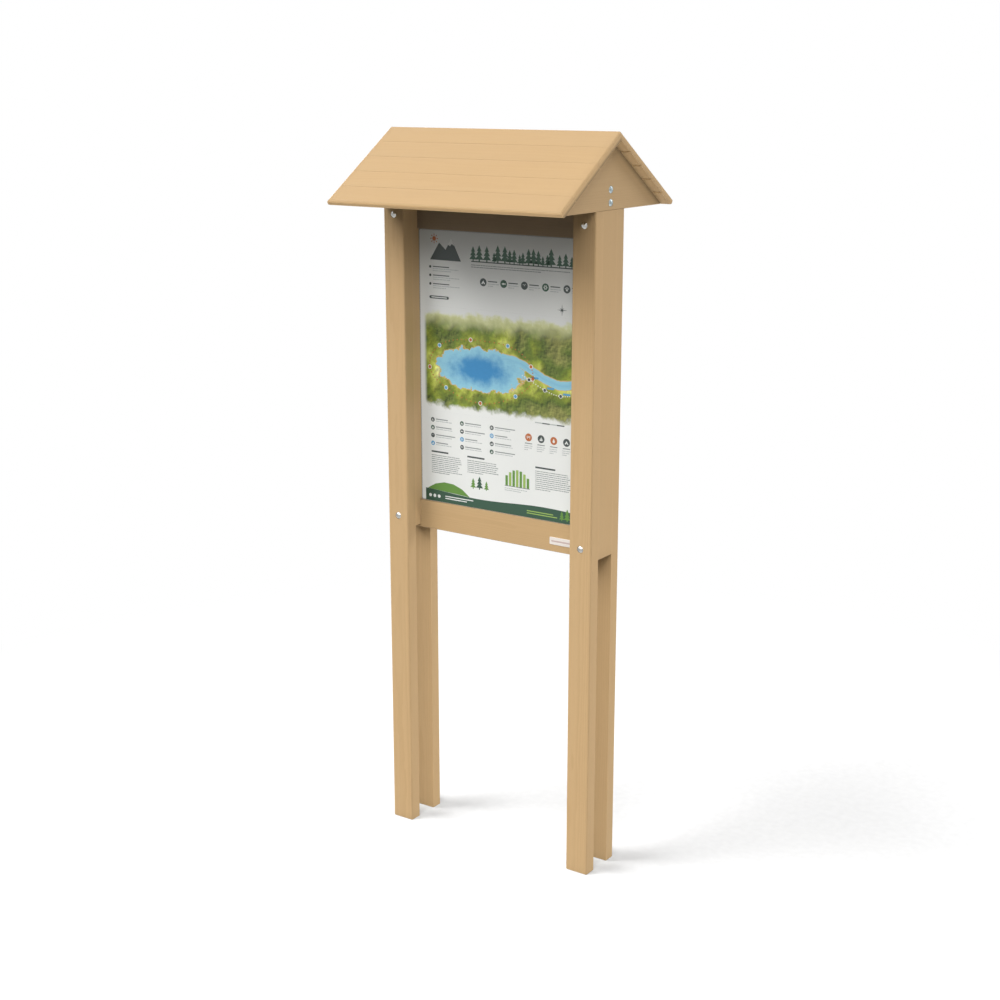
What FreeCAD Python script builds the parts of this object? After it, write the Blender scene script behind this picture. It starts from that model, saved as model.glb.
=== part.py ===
import FreeCAD, Part
import math
import os
import Sketcher

Vector = FreeCAD.Vector

QUARTER_TURN = 90
HALF_TURN = 180
FULL_TURN = 360
HEXAGON_SIDES = 6
# Furthest that an edge's middle may lie from the line it is looked for on
PICK_TOLERANCE = 0.01
# A sketch's own numbers for its origin, its upright axis and the points of a line or an arc
ORIGIN, UPRIGHT_AXIS = range(-1, -3, -1)
START, END, CENTRE = range(1, 4)

# Driving dimensions in millimetres, the pitch in degrees: name, value and meaning
SIZES = (
    ("opening_width", 600, "clear width between the two legs"),
    ("plank_height", 2015, "from the ground to the tops of the leg planks"),
    ("plank_width", 76, "leg plank seen from the front"),
    ("plank_thickness", 40, "leg plank seen from the side"),
    ("plank_edge_radius", 5, "rounding of a plank's two outward long edges"),
    ("foot_chamfer", 2, "bevel round the foot of a plank"),
    ("block_depth", 76, "leg block between its front and rear planks"),
    ("block_end", 53, "leg block above its upper gable screw"),
    ("rail_thickness", 20, "rail seen from the side"),
    ("rail_height", 90, "rail seen from the front"),
    ("rail_bevel", 1.5, "bevel of a rail's long edges"),
    ("rail_tongue", 50, "rail end inside a leg block"),
    ("rail_drop", 10, "bottom rail below the leg blocks"),
    ("top_rail_rise", 7, "top rail above the tops of the leg planks"),
    ("joint_clearance", 0.25, "each side of a rail end in its mortise and of the panel in its groove"),
    ("panel_view_height", 850, "panel between the rails"),
    ("panel_thickness", 6, "graphic panel"),
    ("panel_inset", 10, "panel edge inside a groove"),
    ("panel_play", 1, "room for the panel to grow at its sides and top"),
    ("gable_thickness", 20, "gable board, let into the leg block's outer side"),
    ("gable_rise", 192, "gable from its base to its peak"),
    ("gable_toe", 3, "height of the blunt ends of the gable's base"),
    ("gable_bevel", 1.5, "bevel of the gable's outer lower edge"),
    ("roof_pitch", 33.7, "slope of the roof"),
    ("roof_overhang", 31, "roof end beyond the gable's outer face"),
    ("board_thickness", 20, "roof board"),
    ("board_width", 72.6, "roof board along the slope"),
    ("board_gap", 0.6, "seam between two roof boards"),
    ("board_bevel", 3.5, "bevel of a roof board's long edges on its underside"),
    ("eave_bevel", 6, "bevel of the eave's lower edge"),
    ("roof_edge_radius", 7, "rounding of the roof's outer upper edges"),
    ("cleat_width", 40, "cleat from its gable inwards"),
    ("cleat_thickness", 20, "cleat square to the slope"),
    ("cleat_ridge_gap", 4, "cleat from the ridge line, along the slope"),
    ("cleat_end_gap", 5, "cleat's lower corner above the gable's base"),
    ("bolt_diameter", 8, "shank of a bolt"),
    ("bolt_clearance", 0.5, "bolt hole wider than its bolt"),
    ("bolt_head_diameter", 20.6, "domed bolt head"),
    ("bolt_head_height", 4.9, "domed bolt head"),
    ("neck_width", 8.6, "square neck under a bolt head"),
    ("neck_depth", 5, "square neck under a bolt head"),
    ("neck_clearance", 0.2, "socket wider than the neck"),
    ("bolt_end", 3, "bolt beyond its nut"),
    ("washer_width", 26, "square timber washer"),
    ("washer_thickness", 3, "square timber washer"),
    ("nut_width", 13, "nut across its flats"),
    ("nut_height", 6.5, "nut along its bolt"),
    ("thread_clearance", 0.2, "threaded bore wider than its bolt"),
    ("gable_screw_clear", 14, "lower gable screw above the top rail"),
    ("gable_screw_spacing", 36, "between the two screws of a gable"),
    ("gable_screw_length", 65, "domed screw through a gable into its leg block"),
    ("board_screw_width", 4.5, "screw from a cleat up into a roof board"),
    ("board_screw_length", 35, "screw from a cleat up into a roof board"),
    ("cleat_screw_width", 5, "screw from a cleat into its gable"),
    ("cleat_screw_length", 50, "screw from a cleat into its gable"),
    ("screw_head_width", 8, "six-sided screw head across its flats"),
    ("screw_head_height", 4, "six-sided screw head"),
    ("screw_clearance", 0.2, "screw hole wider than its screw"),
    ("screw_hole_spare", 1, "blind screw hole beyond the screw's end"),
    ("screw_end_distance", 14, "last screw from a cleat's lower end"),
)

# Places worked out from the driving dimensions, as expressions of the sheet
HALF_OPENING = "(Sizes.opening_width / 2)"
LEG_CENTRE = "(Sizes.opening_width / 2 + Sizes.plank_width / 2)"
LEG_OUTER = "(Sizes.opening_width / 2 + Sizes.plank_width)"
PLANK_CENTRE = "(Sizes.block_depth / 2 + Sizes.plank_thickness / 2)"
LEG_FACE = "(Sizes.block_depth / 2 + Sizes.plank_thickness)"
TOP_RAIL_TOP = "(Sizes.plank_height + Sizes.top_rail_rise)"
TOP_RAIL_BOTTOM = f"({TOP_RAIL_TOP} - Sizes.rail_height)"
BOTTOM_RAIL_TOP = f"({TOP_RAIL_BOTTOM} - Sizes.panel_view_height)"
BOTTOM_RAIL_BOTTOM = f"({BOTTOM_RAIL_TOP} - Sizes.rail_height)"
BLOCK_BOTTOM = f"({BOTTOM_RAIL_BOTTOM} + Sizes.rail_drop)"
TOP_BOLT = f"({TOP_RAIL_BOTTOM} + Sizes.rail_height / 2)"
BOTTOM_BOLT = f"({BOTTOM_RAIL_BOTTOM} + Sizes.rail_height / 2)"
LOWER_GABLE_SCREW = f"({TOP_RAIL_TOP} + Sizes.gable_screw_clear)"
UPPER_GABLE_SCREW = f"({LOWER_GABLE_SCREW} + Sizes.gable_screw_spacing)"
BLOCK_TOP = f"({UPPER_GABLE_SCREW} + Sizes.block_end)"
GABLE_INNER = f"({LEG_OUTER} - Sizes.gable_thickness)"
RIDGE_TOP = "(Sizes.plank_height + Sizes.gable_rise + Sizes.board_thickness / cos(Sizes.roof_pitch))"
BOARD_PITCH = "(Sizes.board_width + Sizes.board_gap)"
CLEAT_CENTRE = f"({GABLE_INNER} - Sizes.cleat_width / 2)"
CLEAT_BASE = "(Sizes.board_thickness + Sizes.cleat_thickness)"
CLEAT_DROP = f"(Sizes.board_thickness / cos(Sizes.roof_pitch) - {CLEAT_BASE} * cos(Sizes.roof_pitch))"
CLEAT_END = f"((Sizes.gable_rise + {CLEAT_DROP} - Sizes.cleat_end_gap) / sin(Sizes.roof_pitch))"
CLEAT_MIDDLE = "(Sizes.board_thickness + Sizes.cleat_thickness / 2)"
BOLT_HOLE = "(Sizes.bolt_diameter + Sizes.bolt_clearance)"
BOARD_SCREW_HOLE = "(Sizes.board_screw_width + Sizes.screw_clearance)"
CLEAT_SCREW_HOLE = "(Sizes.cleat_screw_width + Sizes.screw_clearance)"

BOARDS_PER_SLOPE = 5
BOARD_NUMBERS = range(1, BOARDS_PER_SLOPE + 1)
SIDES = {"left": -1, "right": 1}
# The front and the rear, with the turn about the upright axis that faces a piece that way
ENDS = {"front": 0, "rear": HALF_TURN}

doc = FreeCAD.newDocument("park_sign")
nodes = []


def fill_sheet():
    """The sheet of driving dimensions: name, value and meaning in three columns."""
    sheet = doc.addObject("Spreadsheet::Sheet", "Sizes")
    for row, (name, size, meaning) in enumerate(SIZES, 1):
        sheet.set(f"A{row}", name)
        sheet.set(f"B{row}", str(size))
        sheet.set(f"C{row}", meaning)
        sheet.setAlias(f"B{row}", name)
    doc.recompute()
    return sheet


def value(text):
    """The number that an expression gives with the present sizes."""
    return float(sizes_sheet.evalExpression(text))


def new_body(name, placement=None):
    """An empty body, placed by an expression where one is given."""
    body = doc.addObject("PartDesign::Body", name)
    body.Label = name
    if placement:
        body.setExpression("Placement", placement)
    return body


def keep(piece):
    """Hand a finished piece in as a node under its own label."""
    nodes.append(piece)


def new_sketch(body, name, role, offset="0"):
    """A sketch on the body's own origin plane, moved along that plane's normal."""
    sketch = body.newObject("Sketcher::SketchObject", name)
    plane = next(feature for feature in body.Origin.OriginFeatures if feature.Role == role)
    sketch.AttachmentSupport = (plane, [""])
    sketch.MapMode = "FlatFace"
    sketch.setExpression("AttachmentOffset.Base.z", offset)
    return sketch


def hold_point(sketch, geometry, point, across, up):
    """Dimension one point of the geometry from the sketch's origin, both ways."""
    for kind, text in (("DistanceX", across), ("DistanceY", up)):
        constraint = Sketcher.Constraint(kind, ORIGIN, START, geometry, point, value(text))
        number = sketch.addConstraint(constraint)
        sketch.setExpression(f"Constraints[{number}]", text)


def join_ends(sketch, geometry, following):
    """Hold the end of one piece of geometry on the start of the next."""
    sketch.addConstraint(Sketcher.Constraint("Coincident", geometry, END, following, START))


def draw_outline(sketch, corners):
    """A closed outline of straight lines, each corner given by two expressions."""
    places = [Vector(value(across), value(up), 0) for across, up in corners]
    first = sketch.GeometryCount
    count = len(corners)
    for index, place in enumerate(places):
        sketch.addGeometry(Part.LineSegment(place, places[(index + 1) % count]), False)
    for index in range(count):
        following = first + (index + 1) % count
        join_ends(sketch, first + index, following)
    for index, (across, up) in enumerate(corners):
        hold_point(sketch, first + index, START, across, up)


def draw_rectangle(sketch, left, bottom, right, top):
    """A rectangle between two opposite corners, given by expressions."""
    draw_outline(sketch, ((left, bottom), (right, bottom), (right, top), (left, top)))


def draw_circles(sketch, centres, diameter):
    """Equal circles, each centre given by two expressions."""
    for across, up in centres:
        middle = Vector(value(across), value(up), 0)
        circle = Part.Circle(middle, Vector(0, 0, 1), value(diameter) / 2)
        geometry = sketch.addGeometry(circle, False)
        hold_point(sketch, geometry, CENTRE, across, up)
        number = sketch.addConstraint(Sketcher.Constraint("Diameter", geometry, value(diameter)))
        sketch.setExpression(f"Constraints[{number}]", diameter)


def draw_hexagon(sketch, across, up, width, angle="0"):
    """A regular hexagon by its width across flats, one corner at an angle from the sketch's first axis."""
    reach = f"({width}) / sqrt(3)"
    corners = []
    for number in range(HEXAGON_SIDES):
        heading = f"{angle} + {number * FULL_TURN // HEXAGON_SIDES}"
        corners.append((f"{across} + {reach} * cos({heading})", f"{up} + {reach} * sin({heading})"))
    draw_outline(sketch, corners)


def draw_domed_half(sketch, corners, top):
    """Half an outline beside the upright axis, closed by a dome from the last corner up to the top."""
    places = [Vector(value(across), value(up), 0) for across, up in corners]
    for start, end in zip(places, places[1:]):
        sketch.addGeometry(Part.LineSegment(start, end), False)
    rim = places[-1]
    peak = value(top)
    centre_height = (peak ** 2 - rim.y ** 2 - rim.x ** 2) / (2 * (peak - rim.y))
    circle = Part.Circle(Vector(0, centre_height, 0), Vector(0, 0, 1), peak - centre_height)
    rim_angle = math.atan2(rim.y - centre_height, rim.x)
    dome = sketch.addGeometry(Part.ArcOfCircle(circle, rim_angle, math.pi / 2), False)
    axis = sketch.addGeometry(Part.LineSegment(Vector(0, peak, 0), places[0]), False)
    ring = (*range(len(corners) - 1), dome, axis)
    for geometry, following in zip(ring, (*ring[1:], ring[0])):
        join_ends(sketch, geometry, following)
    sketch.addConstraint(Sketcher.Constraint("PointOnObject", dome, CENTRE, UPRIGHT_AXIS))
    for geometry, (across, up) in zip(ring, (*corners, ("0", top))):
        hold_point(sketch, geometry, START, across, up)


def add_pad(body, name, sketch, length, side="Symmetric"):
    """Material from a sketch, to both sides of its plane or along its normal."""
    pad = body.newObject("PartDesign::Pad", name)
    pad.Profile = sketch
    pad.SideType = side
    pad.setExpression("Length", length)
    doc.recompute()
    return pad


def add_pocket(body, name, sketch, length, side="Symmetric", along_normal=False):
    """A cut from a sketch, to both sides of its plane, against its normal or along it."""
    before = body.Shape.Volume
    pocket = body.newObject("PartDesign::Pocket", name)
    pocket.Profile = sketch
    pocket.SideType = side
    pocket.Reversed = along_normal
    pocket.setExpression("Length", length)
    doc.recompute()
    if body.Shape.Volume >= before:
        raise RuntimeError(f"{body.Label}: {name} cuts nothing")
    return pocket


def add_revolution(body, name, sketch):
    """A round form turned about the sketch's upright axis."""
    revolution = body.newObject("PartDesign::Revolution", name)
    revolution.Profile = sketch
    revolution.ReferenceAxis = (sketch, ["V_Axis"])
    doc.recompute()
    return revolution


def edges_where(feature, test):
    """Names of the feature's edges whose middle point passes the test."""
    names = []
    for number, edge in enumerate(feature.Shape.Edges, 1):
        middle = edge.valueAt((edge.FirstParameter + edge.LastParameter) / 2)
        if test(middle):
            names.append(f"Edge{number}")
    return names


def near(place, text):
    """Whether a coordinate lies at the place that an expression gives."""
    return abs(place - value(text)) < PICK_TOLERANCE


def add_fillet(body, name, feature, test, radius):
    """Rounding of the feature's edges that pass the test."""
    fillet = body.newObject("PartDesign::Fillet", name)
    fillet.Base = (feature, edges_where(feature, test))
    fillet.setExpression("Radius", radius)
    doc.recompute()
    return fillet


def add_chamfer(body, name, feature, test, size):
    """Bevel of the feature's edges that pass the test."""
    chamfer = body.newObject("PartDesign::Chamfer", name)
    chamfer.Base = (feature, edges_where(feature, test))
    chamfer.setExpression("Size", size)
    doc.recompute()
    return chamfer


def turned(across, deep, high, axis, angle):
    """Expression of a placement at three expressions, turned about an axis."""
    place = f"vector({across}; {deep}; {high})"
    return f"placement({place}; rotation(vector({axis}); {angle}))"


def add_slope_frame(name, turn):
    """Frame of one roof slope: origin on the ridge, -Y down the slope, Z out of the roof."""
    frame = doc.addObject("App::Placement", name)
    upright = turned("0", "0", RIDGE_TOP, "0; 0; 1", turn)
    tilt = turned("0", "0", "0", "1; 0; 0", "Sizes.roof_pitch")
    frame.setExpression("Placement", f"{upright} * {tilt}")


def board_screw_place(number):
    """How far down the slope a board's screws are: mid-board, or as near as the cleat's end allows."""
    middle = f"{number} * {BOARD_PITCH} - Sizes.board_gap - Sizes.board_width / 2"
    return f"min({middle}; {CLEAT_END} - Sizes.screw_end_distance)"


def cleat_screw_places():
    """How far down the slope a cleat's own screws are: under every second seam between boards."""
    return [f"{number} * {BOARD_PITCH} - Sizes.board_gap / 2" for number in BOARD_NUMBERS[:-1:2]]


def make_plank(label, side, end):
    """Upright leg plank: rounded outward edges, bevelled foot, two bolt holes, sockets on the front."""
    is_front = end == "front"
    deep = f"-{PLANK_CENTRE}" if is_front else PLANK_CENTRE
    place = turned(f"{side} * {LEG_CENTRE}", deep, "0", "0; 0; 1", ENDS[end])
    body = new_body(label, place)
    half_width = "Sizes.plank_width / 2"
    half_thickness = "Sizes.plank_thickness / 2"
    section = new_sketch(body, f"{label}_section", "XY_Plane")
    draw_rectangle(section, f"-{half_width}", f"-{half_thickness}", half_width, half_thickness)
    blank = add_pad(body, f"{label}_blank", section, "Sizes.plank_height", "One side")

    def outward_corner(point):
        return near(point.z, "Sizes.plank_height / 2") and near(point.y, f"-{half_thickness}")

    rounded = add_fillet(body, f"{label}_rounds", blank, outward_corner, "Sizes.plank_edge_radius")
    add_chamfer(body, f"{label}_foot", rounded, lambda point: near(point.z, "0"), "Sizes.foot_chamfer")
    holes = new_sketch(body, f"{label}_holes", "XZ_Plane")
    draw_circles(holes, (("0", BOTTOM_BOLT), ("0", TOP_BOLT)), BOLT_HOLE)
    add_pocket(body, f"{label}_drilled", holes, "Sizes.plank_thickness")
    if is_front:
        sockets = new_sketch(body, f"{label}_sockets", "XZ_Plane", half_thickness)
        half = "(Sizes.neck_width + Sizes.neck_clearance) / 2"
        for bolt in (BOTTOM_BOLT, TOP_BOLT):
            draw_rectangle(sockets, f"-{half}", f"{bolt} - {half}", half, f"{bolt} + {half}")
        add_pocket(body, f"{label}_neck_seats", sockets, "Sizes.neck_depth", "One side")
    return body


def make_block(label, side):
    """Leg block: two blind mortises, the panel groove between them and a set-back upper end."""
    turn = 0 if side > 0 else HALF_TURN
    body = new_body(label, turned(f"{side} * {HALF_OPENING}", "0", BLOCK_BOTTOM, "0; 0; 1", turn))

    def above(height):
        return f"({height} - {BLOCK_BOTTOM})"

    shoulder = above("Sizes.plank_height")
    top = above(BLOCK_TOP)
    set_back = "Sizes.plank_width - Sizes.gable_thickness"
    side_view = new_sketch(body, f"{label}_side_view", "XZ_Plane")
    corners = (("0", "0"), ("Sizes.plank_width", "0"), ("Sizes.plank_width", shoulder))
    corners += ((set_back, shoulder), (set_back, top), ("0", top))
    draw_outline(side_view, corners)
    add_pad(body, f"{label}_blank", side_view, "Sizes.block_depth")
    mortise_depth = "Sizes.rail_tongue + Sizes.joint_clearance"
    lower_top = f"{above(BOTTOM_RAIL_TOP)} + Sizes.joint_clearance"
    upper_bottom = f"{above(TOP_RAIL_BOTTOM)} - Sizes.joint_clearance"
    upper_top = f"{above(TOP_RAIL_TOP)} + Sizes.joint_clearance"
    mortises = new_sketch(body, f"{label}_mortise_view", "XZ_Plane")
    draw_rectangle(mortises, "0", "0", mortise_depth, lower_top)
    draw_rectangle(mortises, "0", upper_bottom, mortise_depth, upper_top)
    mortise_width = "Sizes.rail_thickness + 2 * Sizes.joint_clearance"
    add_pocket(body, f"{label}_mortises", mortises, mortise_width)
    groove = new_sketch(body, f"{label}_groove_view", "XZ_Plane")
    groove_depth = "Sizes.panel_inset + Sizes.panel_play"
    draw_rectangle(groove, "0", lower_top, groove_depth, upper_bottom)
    groove_width = "Sizes.panel_thickness + 2 * Sizes.joint_clearance"
    add_pocket(body, f"{label}_groove", groove, groove_width)
    leg_holes = new_sketch(body, f"{label}_leg_holes", "XZ_Plane")
    middle = "Sizes.plank_width / 2"
    draw_circles(leg_holes, ((middle, above(BOTTOM_BOLT)), (middle, above(TOP_BOLT))), BOLT_HOLE)
    add_pocket(body, f"{label}_leg_drilled", leg_holes, "Sizes.block_depth")
    gable_holes = new_sketch(body, f"{label}_gable_holes", "YZ_Plane", set_back)
    centres = [("0", above(height)) for height in (LOWER_GABLE_SCREW, UPPER_GABLE_SCREW)]
    draw_circles(gable_holes, centres, "Sizes.bolt_diameter + Sizes.thread_clearance")
    bite = "Sizes.gable_screw_length - Sizes.gable_thickness + Sizes.screw_hole_spare"
    add_pocket(body, f"{label}_gable_drilled", gable_holes, bite, "One side")
    return body


def make_rail(label, bottom, groove_low, groove_high):
    """Rail on edge: eased long edges, the panel groove and a bolt hole through each end."""
    body = new_body(label, turned("0", "0", bottom, "0; 0; 1", "0"))
    half_length = f"({HALF_OPENING} + Sizes.rail_tongue)"
    half_thickness = "Sizes.rail_thickness / 2"
    face = new_sketch(body, f"{label}_face", "XZ_Plane")
    draw_rectangle(face, f"-{half_length}", "0", half_length, "Sizes.rail_height")
    blank = add_pad(body, f"{label}_blank", face, "Sizes.rail_thickness")

    def long_edge(point):
        return near(point.x, "0") and near(abs(point.y), half_thickness)

    add_chamfer(body, f"{label}_bevels", blank, long_edge, "Sizes.rail_bevel")
    groove = new_sketch(body, f"{label}_groove_view", "XZ_Plane")
    draw_rectangle(groove, f"-{half_length}", groove_low, half_length, groove_high)
    groove_width = "Sizes.panel_thickness + 2 * Sizes.joint_clearance"
    add_pocket(body, f"{label}_groove", groove, groove_width)
    holes = new_sketch(body, f"{label}_holes", "XZ_Plane")
    centres = [(f"{side} * {LEG_CENTRE}", "Sizes.rail_height / 2") for side in SIDES.values()]
    draw_circles(holes, centres, BOLT_HOLE)
    add_pocket(body, f"{label}_drilled", holes, "Sizes.rail_thickness")
    return body


def make_panel(label):
    """Graphic panel, standing on the floor of the bottom rail's groove."""
    body = new_body(label, turned("0", "0", f"{BOTTOM_RAIL_TOP} - Sizes.panel_inset", "0; 0; 1", "0"))
    face = new_sketch(body, f"{label}_face", "XZ_Plane")
    half_width = f"({HALF_OPENING} + Sizes.panel_inset)"
    height = "Sizes.panel_view_height + 2 * Sizes.panel_inset"
    draw_rectangle(face, f"-{half_width}", "0", half_width, height)
    add_pad(body, f"{label}_sheet", face, "Sizes.panel_thickness")
    return body


def make_gable(label, side):
    """Gable board on the plank tops: two screw holes, blind holes for the cleat screws."""
    turn = 0 if side > 0 else HALF_TURN
    place = turned(f"{side} * {GABLE_INNER}", "0", "Sizes.plank_height", "0; 0; 1", turn)
    body = new_body(label, place)
    toe = "((Sizes.gable_rise - Sizes.gable_toe) / tan(Sizes.roof_pitch))"
    face = new_sketch(body, f"{label}_face", "YZ_Plane")
    corners = ((f"-{toe}", "0"), (toe, "0"), (toe, "Sizes.gable_toe"), ("0", "Sizes.gable_rise"))
    draw_outline(face, corners + ((f"-{toe}", "Sizes.gable_toe"),))
    blank = add_pad(body, f"{label}_blank", face, "Sizes.gable_thickness", "One side")

    def outer_base(point):
        return near(point.z, "0") and near(point.x, "Sizes.gable_thickness")

    add_chamfer(body, f"{label}_bevel", blank, outer_base, "Sizes.gable_bevel")
    holes = new_sketch(body, f"{label}_holes", "YZ_Plane")
    screws = (LOWER_GABLE_SCREW, UPPER_GABLE_SCREW)
    draw_circles(holes, [("0", f"{screw} - Sizes.plank_height") for screw in screws], BOLT_HOLE)
    add_pocket(body, f"{label}_drilled", holes, "Sizes.gable_thickness", "One side", along_normal=True)
    pilots = new_sketch(body, f"{label}_pilots", "YZ_Plane")
    for toward in SIDES.values():
        normal = f"{QUARTER_TURN} - {toward} * Sizes.roof_pitch"
        for place in cleat_screw_places():
            out = f"(({place}) * cos(Sizes.roof_pitch) - {CLEAT_MIDDLE} * sin(Sizes.roof_pitch))"
            down = f"(({place}) * sin(Sizes.roof_pitch) + {CLEAT_MIDDLE} * cos(Sizes.roof_pitch))"
            height = f"({RIDGE_TOP} - Sizes.plank_height - {down})"
            draw_hexagon(pilots, f"{toward} * {out}", height, CLEAT_SCREW_HOLE, normal)
    bite = "Sizes.cleat_screw_length - Sizes.cleat_width + Sizes.screw_hole_spare"
    add_pocket(body, f"{label}_piloted", pilots, bite, "One side", along_normal=True)
    return body


def make_board(label, slope, number):
    """Roof board in its slope's frame: mitred at the ridge, rounded where the roof ends, bevelled below."""
    body = new_body(label, f"{slope}_slope.Placement")
    upper = f"-({number - 1} * {BOARD_PITCH})"
    lower = f"({upper} - Sizes.board_width)"
    top, base = "0", "-Sizes.board_thickness"
    is_ridge = number == 1
    is_eave = number == BOARDS_PER_SLOPE
    half_length = f"({LEG_OUTER} + Sizes.roof_overhang)"
    bevel = "Sizes.eave_bevel" if is_eave else "Sizes.board_bevel"
    corners = [(upper, top), (lower, top), (lower, f"{base} + {bevel}"), (f"{lower} + {bevel}", base)]
    if is_ridge:
        corners.append(("-Sizes.board_thickness * tan(Sizes.roof_pitch)", base))
    else:
        corners += [(f"{upper} - Sizes.board_bevel", base), (upper, f"{base} + Sizes.board_bevel")]
    section = new_sketch(body, f"{label}_section", "YZ_Plane")
    draw_outline(section, corners)
    blank = add_pad(body, f"{label}_blank", section, f"2 * {half_length}")

    def roof_edge(point):
        at_end = near(abs(point.x), half_length)
        at_eave = is_eave and near(point.y, lower)
        return near(point.z, top) and (at_end or at_eave)

    add_fillet(body, f"{label}_rounds", blank, roof_edge, "Sizes.roof_edge_radius")
    pilots = new_sketch(body, f"{label}_pilots", "XY_Plane", base)
    for side in SIDES.values():
        across = f"{side} * {CLEAT_CENTRE}"
        draw_hexagon(pilots, across, f"-{board_screw_place(number)}", BOARD_SCREW_HOLE)
    bite = "Sizes.board_screw_length - Sizes.cleat_thickness + Sizes.screw_hole_spare"
    add_pocket(body, f"{label}_piloted", pilots, bite, "One side", along_normal=True)
    return body


def in_slope(slope, across, down, deep, axis, angle):
    """Expression of a placement in a slope's frame: across the roof, down the slope and below its top."""
    return f"{slope}_slope.Placement * {turned(across, f'-({down})', f'-({deep})', axis, angle)}"


def across_slope(slope, side):
    """Sign of a side of the sign in the slope's own frame: the rear slope's frame is turned round."""
    return side if slope == "front" else -side


def make_cleat(label, slope, side):
    """Sloping cleat against a gable, under the roof boards, drilled for both kinds of screw."""
    across = f"{across_slope(slope, side)} * {CLEAT_CENTRE}"
    body = new_body(label, in_slope(slope, across, "0", "0", "0; 0; 1", "0"))
    top, base = "-Sizes.board_thickness", f"-{CLEAT_BASE}"
    plumb = "tan(Sizes.roof_pitch)"
    upper = f"-(Sizes.board_thickness * {plumb} + Sizes.cleat_ridge_gap)"
    upper_base = f"-({CLEAT_BASE} * {plumb} + Sizes.cleat_ridge_gap)"
    lower = f"-{CLEAT_END}"
    section = new_sketch(body, f"{label}_section", "YZ_Plane")
    draw_outline(section, ((upper, top), (lower, top), (lower, base), (upper_base, base)))
    add_pad(body, f"{label}_blank", section, "Sizes.cleat_width")
    board_holes = new_sketch(body, f"{label}_board_holes", "XY_Plane", top)
    for number in BOARD_NUMBERS:
        draw_hexagon(board_holes, "0", f"-{board_screw_place(number)}", BOARD_SCREW_HOLE)
    add_pocket(body, f"{label}_board_drilled", board_holes, "Sizes.cleat_thickness", "One side")
    gable_holes = new_sketch(body, f"{label}_gable_holes", "YZ_Plane")
    for place in cleat_screw_places():
        draw_hexagon(gable_holes, f"-({place})", f"-{CLEAT_MIDDLE}", CLEAT_SCREW_HOLE, QUARTER_TURN)
    add_pocket(body, f"{label}_gable_drilled", gable_holes, "Sizes.cleat_width")
    return body


def make_timber_screw(name, width, length):
    """Hexagon-head screw: the head stands on the plane z = 0, its threaded shank is a six-sided bar below."""
    body = new_body(name)
    head = new_sketch(body, f"{name}_head_plan", "XY_Plane")
    draw_hexagon(head, "0", "0", "Sizes.screw_head_width")
    add_pad(body, f"{name}_head", head, "Sizes.screw_head_height", "One side")
    shank = new_sketch(body, f"{name}_shank_plan", "XY_Plane", f"-{length}")
    draw_hexagon(shank, "0", "0", width)
    add_pad(body, f"{name}_shank", shank, length, "One side")
    return body


def make_domed(name, length):
    """Fastener with a domed head that stands on the plane z = 0 and a round shank below."""
    body = new_body(name)
    half_view = new_sketch(body, f"{name}_half_view", "XZ_Plane")
    shank, head = "Sizes.bolt_diameter / 2", "Sizes.bolt_head_diameter / 2"
    corners = (("0", f"-{length}"), (shank, f"-{length}"), (shank, "0"), (head, "0"))
    draw_domed_half(half_view, corners, "Sizes.bolt_head_height")
    add_revolution(body, f"{name}_turned", half_view)
    return body


def make_bolt(name, grip):
    """Domed bolt with a square neck, long enough for its grip, washer and nut."""
    body = make_domed(name, f"({grip} + Sizes.washer_thickness + Sizes.nut_height + Sizes.bolt_end)")
    half = "Sizes.neck_width / 2"
    neck = new_sketch(body, f"{name}_neck_section", "XY_Plane", "-Sizes.neck_depth")
    draw_rectangle(neck, f"-{half}", f"-{half}", half, half)
    add_pad(body, f"{name}_neck", neck, "Sizes.neck_depth", "One side")
    return body


def make_washer(name):
    """Square timber washer lying on the plane z = 0."""
    body = new_body(name)
    half = "Sizes.washer_width / 2"
    plan = new_sketch(body, f"{name}_plan", "XY_Plane")
    draw_rectangle(plan, f"-{half}", f"-{half}", half, half)
    draw_circles(plan, (("0", "0"),), BOLT_HOLE)
    add_pad(body, f"{name}_plate", plan, "Sizes.washer_thickness", "One side")
    return body


def make_nut(name):
    """Hexagon nut standing on the plane z = 0."""
    body = new_body(name)
    plan = new_sketch(body, f"{name}_plan", "XY_Plane")
    draw_hexagon(plan, "0", "0", "Sizes.nut_width")
    draw_circles(plan, (("0", "0"),), "Sizes.bolt_diameter + Sizes.thread_clearance")
    add_pad(body, f"{name}_hexagon", plan, "Sizes.nut_height", "One side")
    return body


def make_group(label, piece, places):
    """One node of equal pieces: a link to the piece at each place."""
    links = []
    for number, place in enumerate(places, 1):
        link = doc.addObject("App::Link", f"{label}_{number}")
        link.LinkedObject = piece
        link.setExpression("Placement", place)
        links.append(link)
    group = doc.addObject("Part::Compound", label)
    group.Label = label
    group.Links = links
    return group


def leg_places(deep, angle):
    """Places of the four leg bolts' pieces: at a depth, turned to face forwards or backwards."""
    places = []
    for side in SIDES.values():
        for height in (BOTTOM_BOLT, TOP_BOLT):
            places.append(turned(f"{side} * {LEG_CENTRE}", deep, height, "1; 0; 0", angle))
    return places


def gable_places():
    """Places of the gable screws: two in each gable, heads outwards."""
    places = []
    for side in SIDES.values():
        for height in (LOWER_GABLE_SCREW, UPPER_GABLE_SCREW):
            places.append(turned(f"{side} * {LEG_OUTER}", "0", height, "0; 1; 0", side * QUARTER_TURN))
    return places


def slope_sides():
    """Every slope with each sign of X in its own frame."""
    return [(slope, side) for slope in ENDS for side in SIDES.values()]


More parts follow.
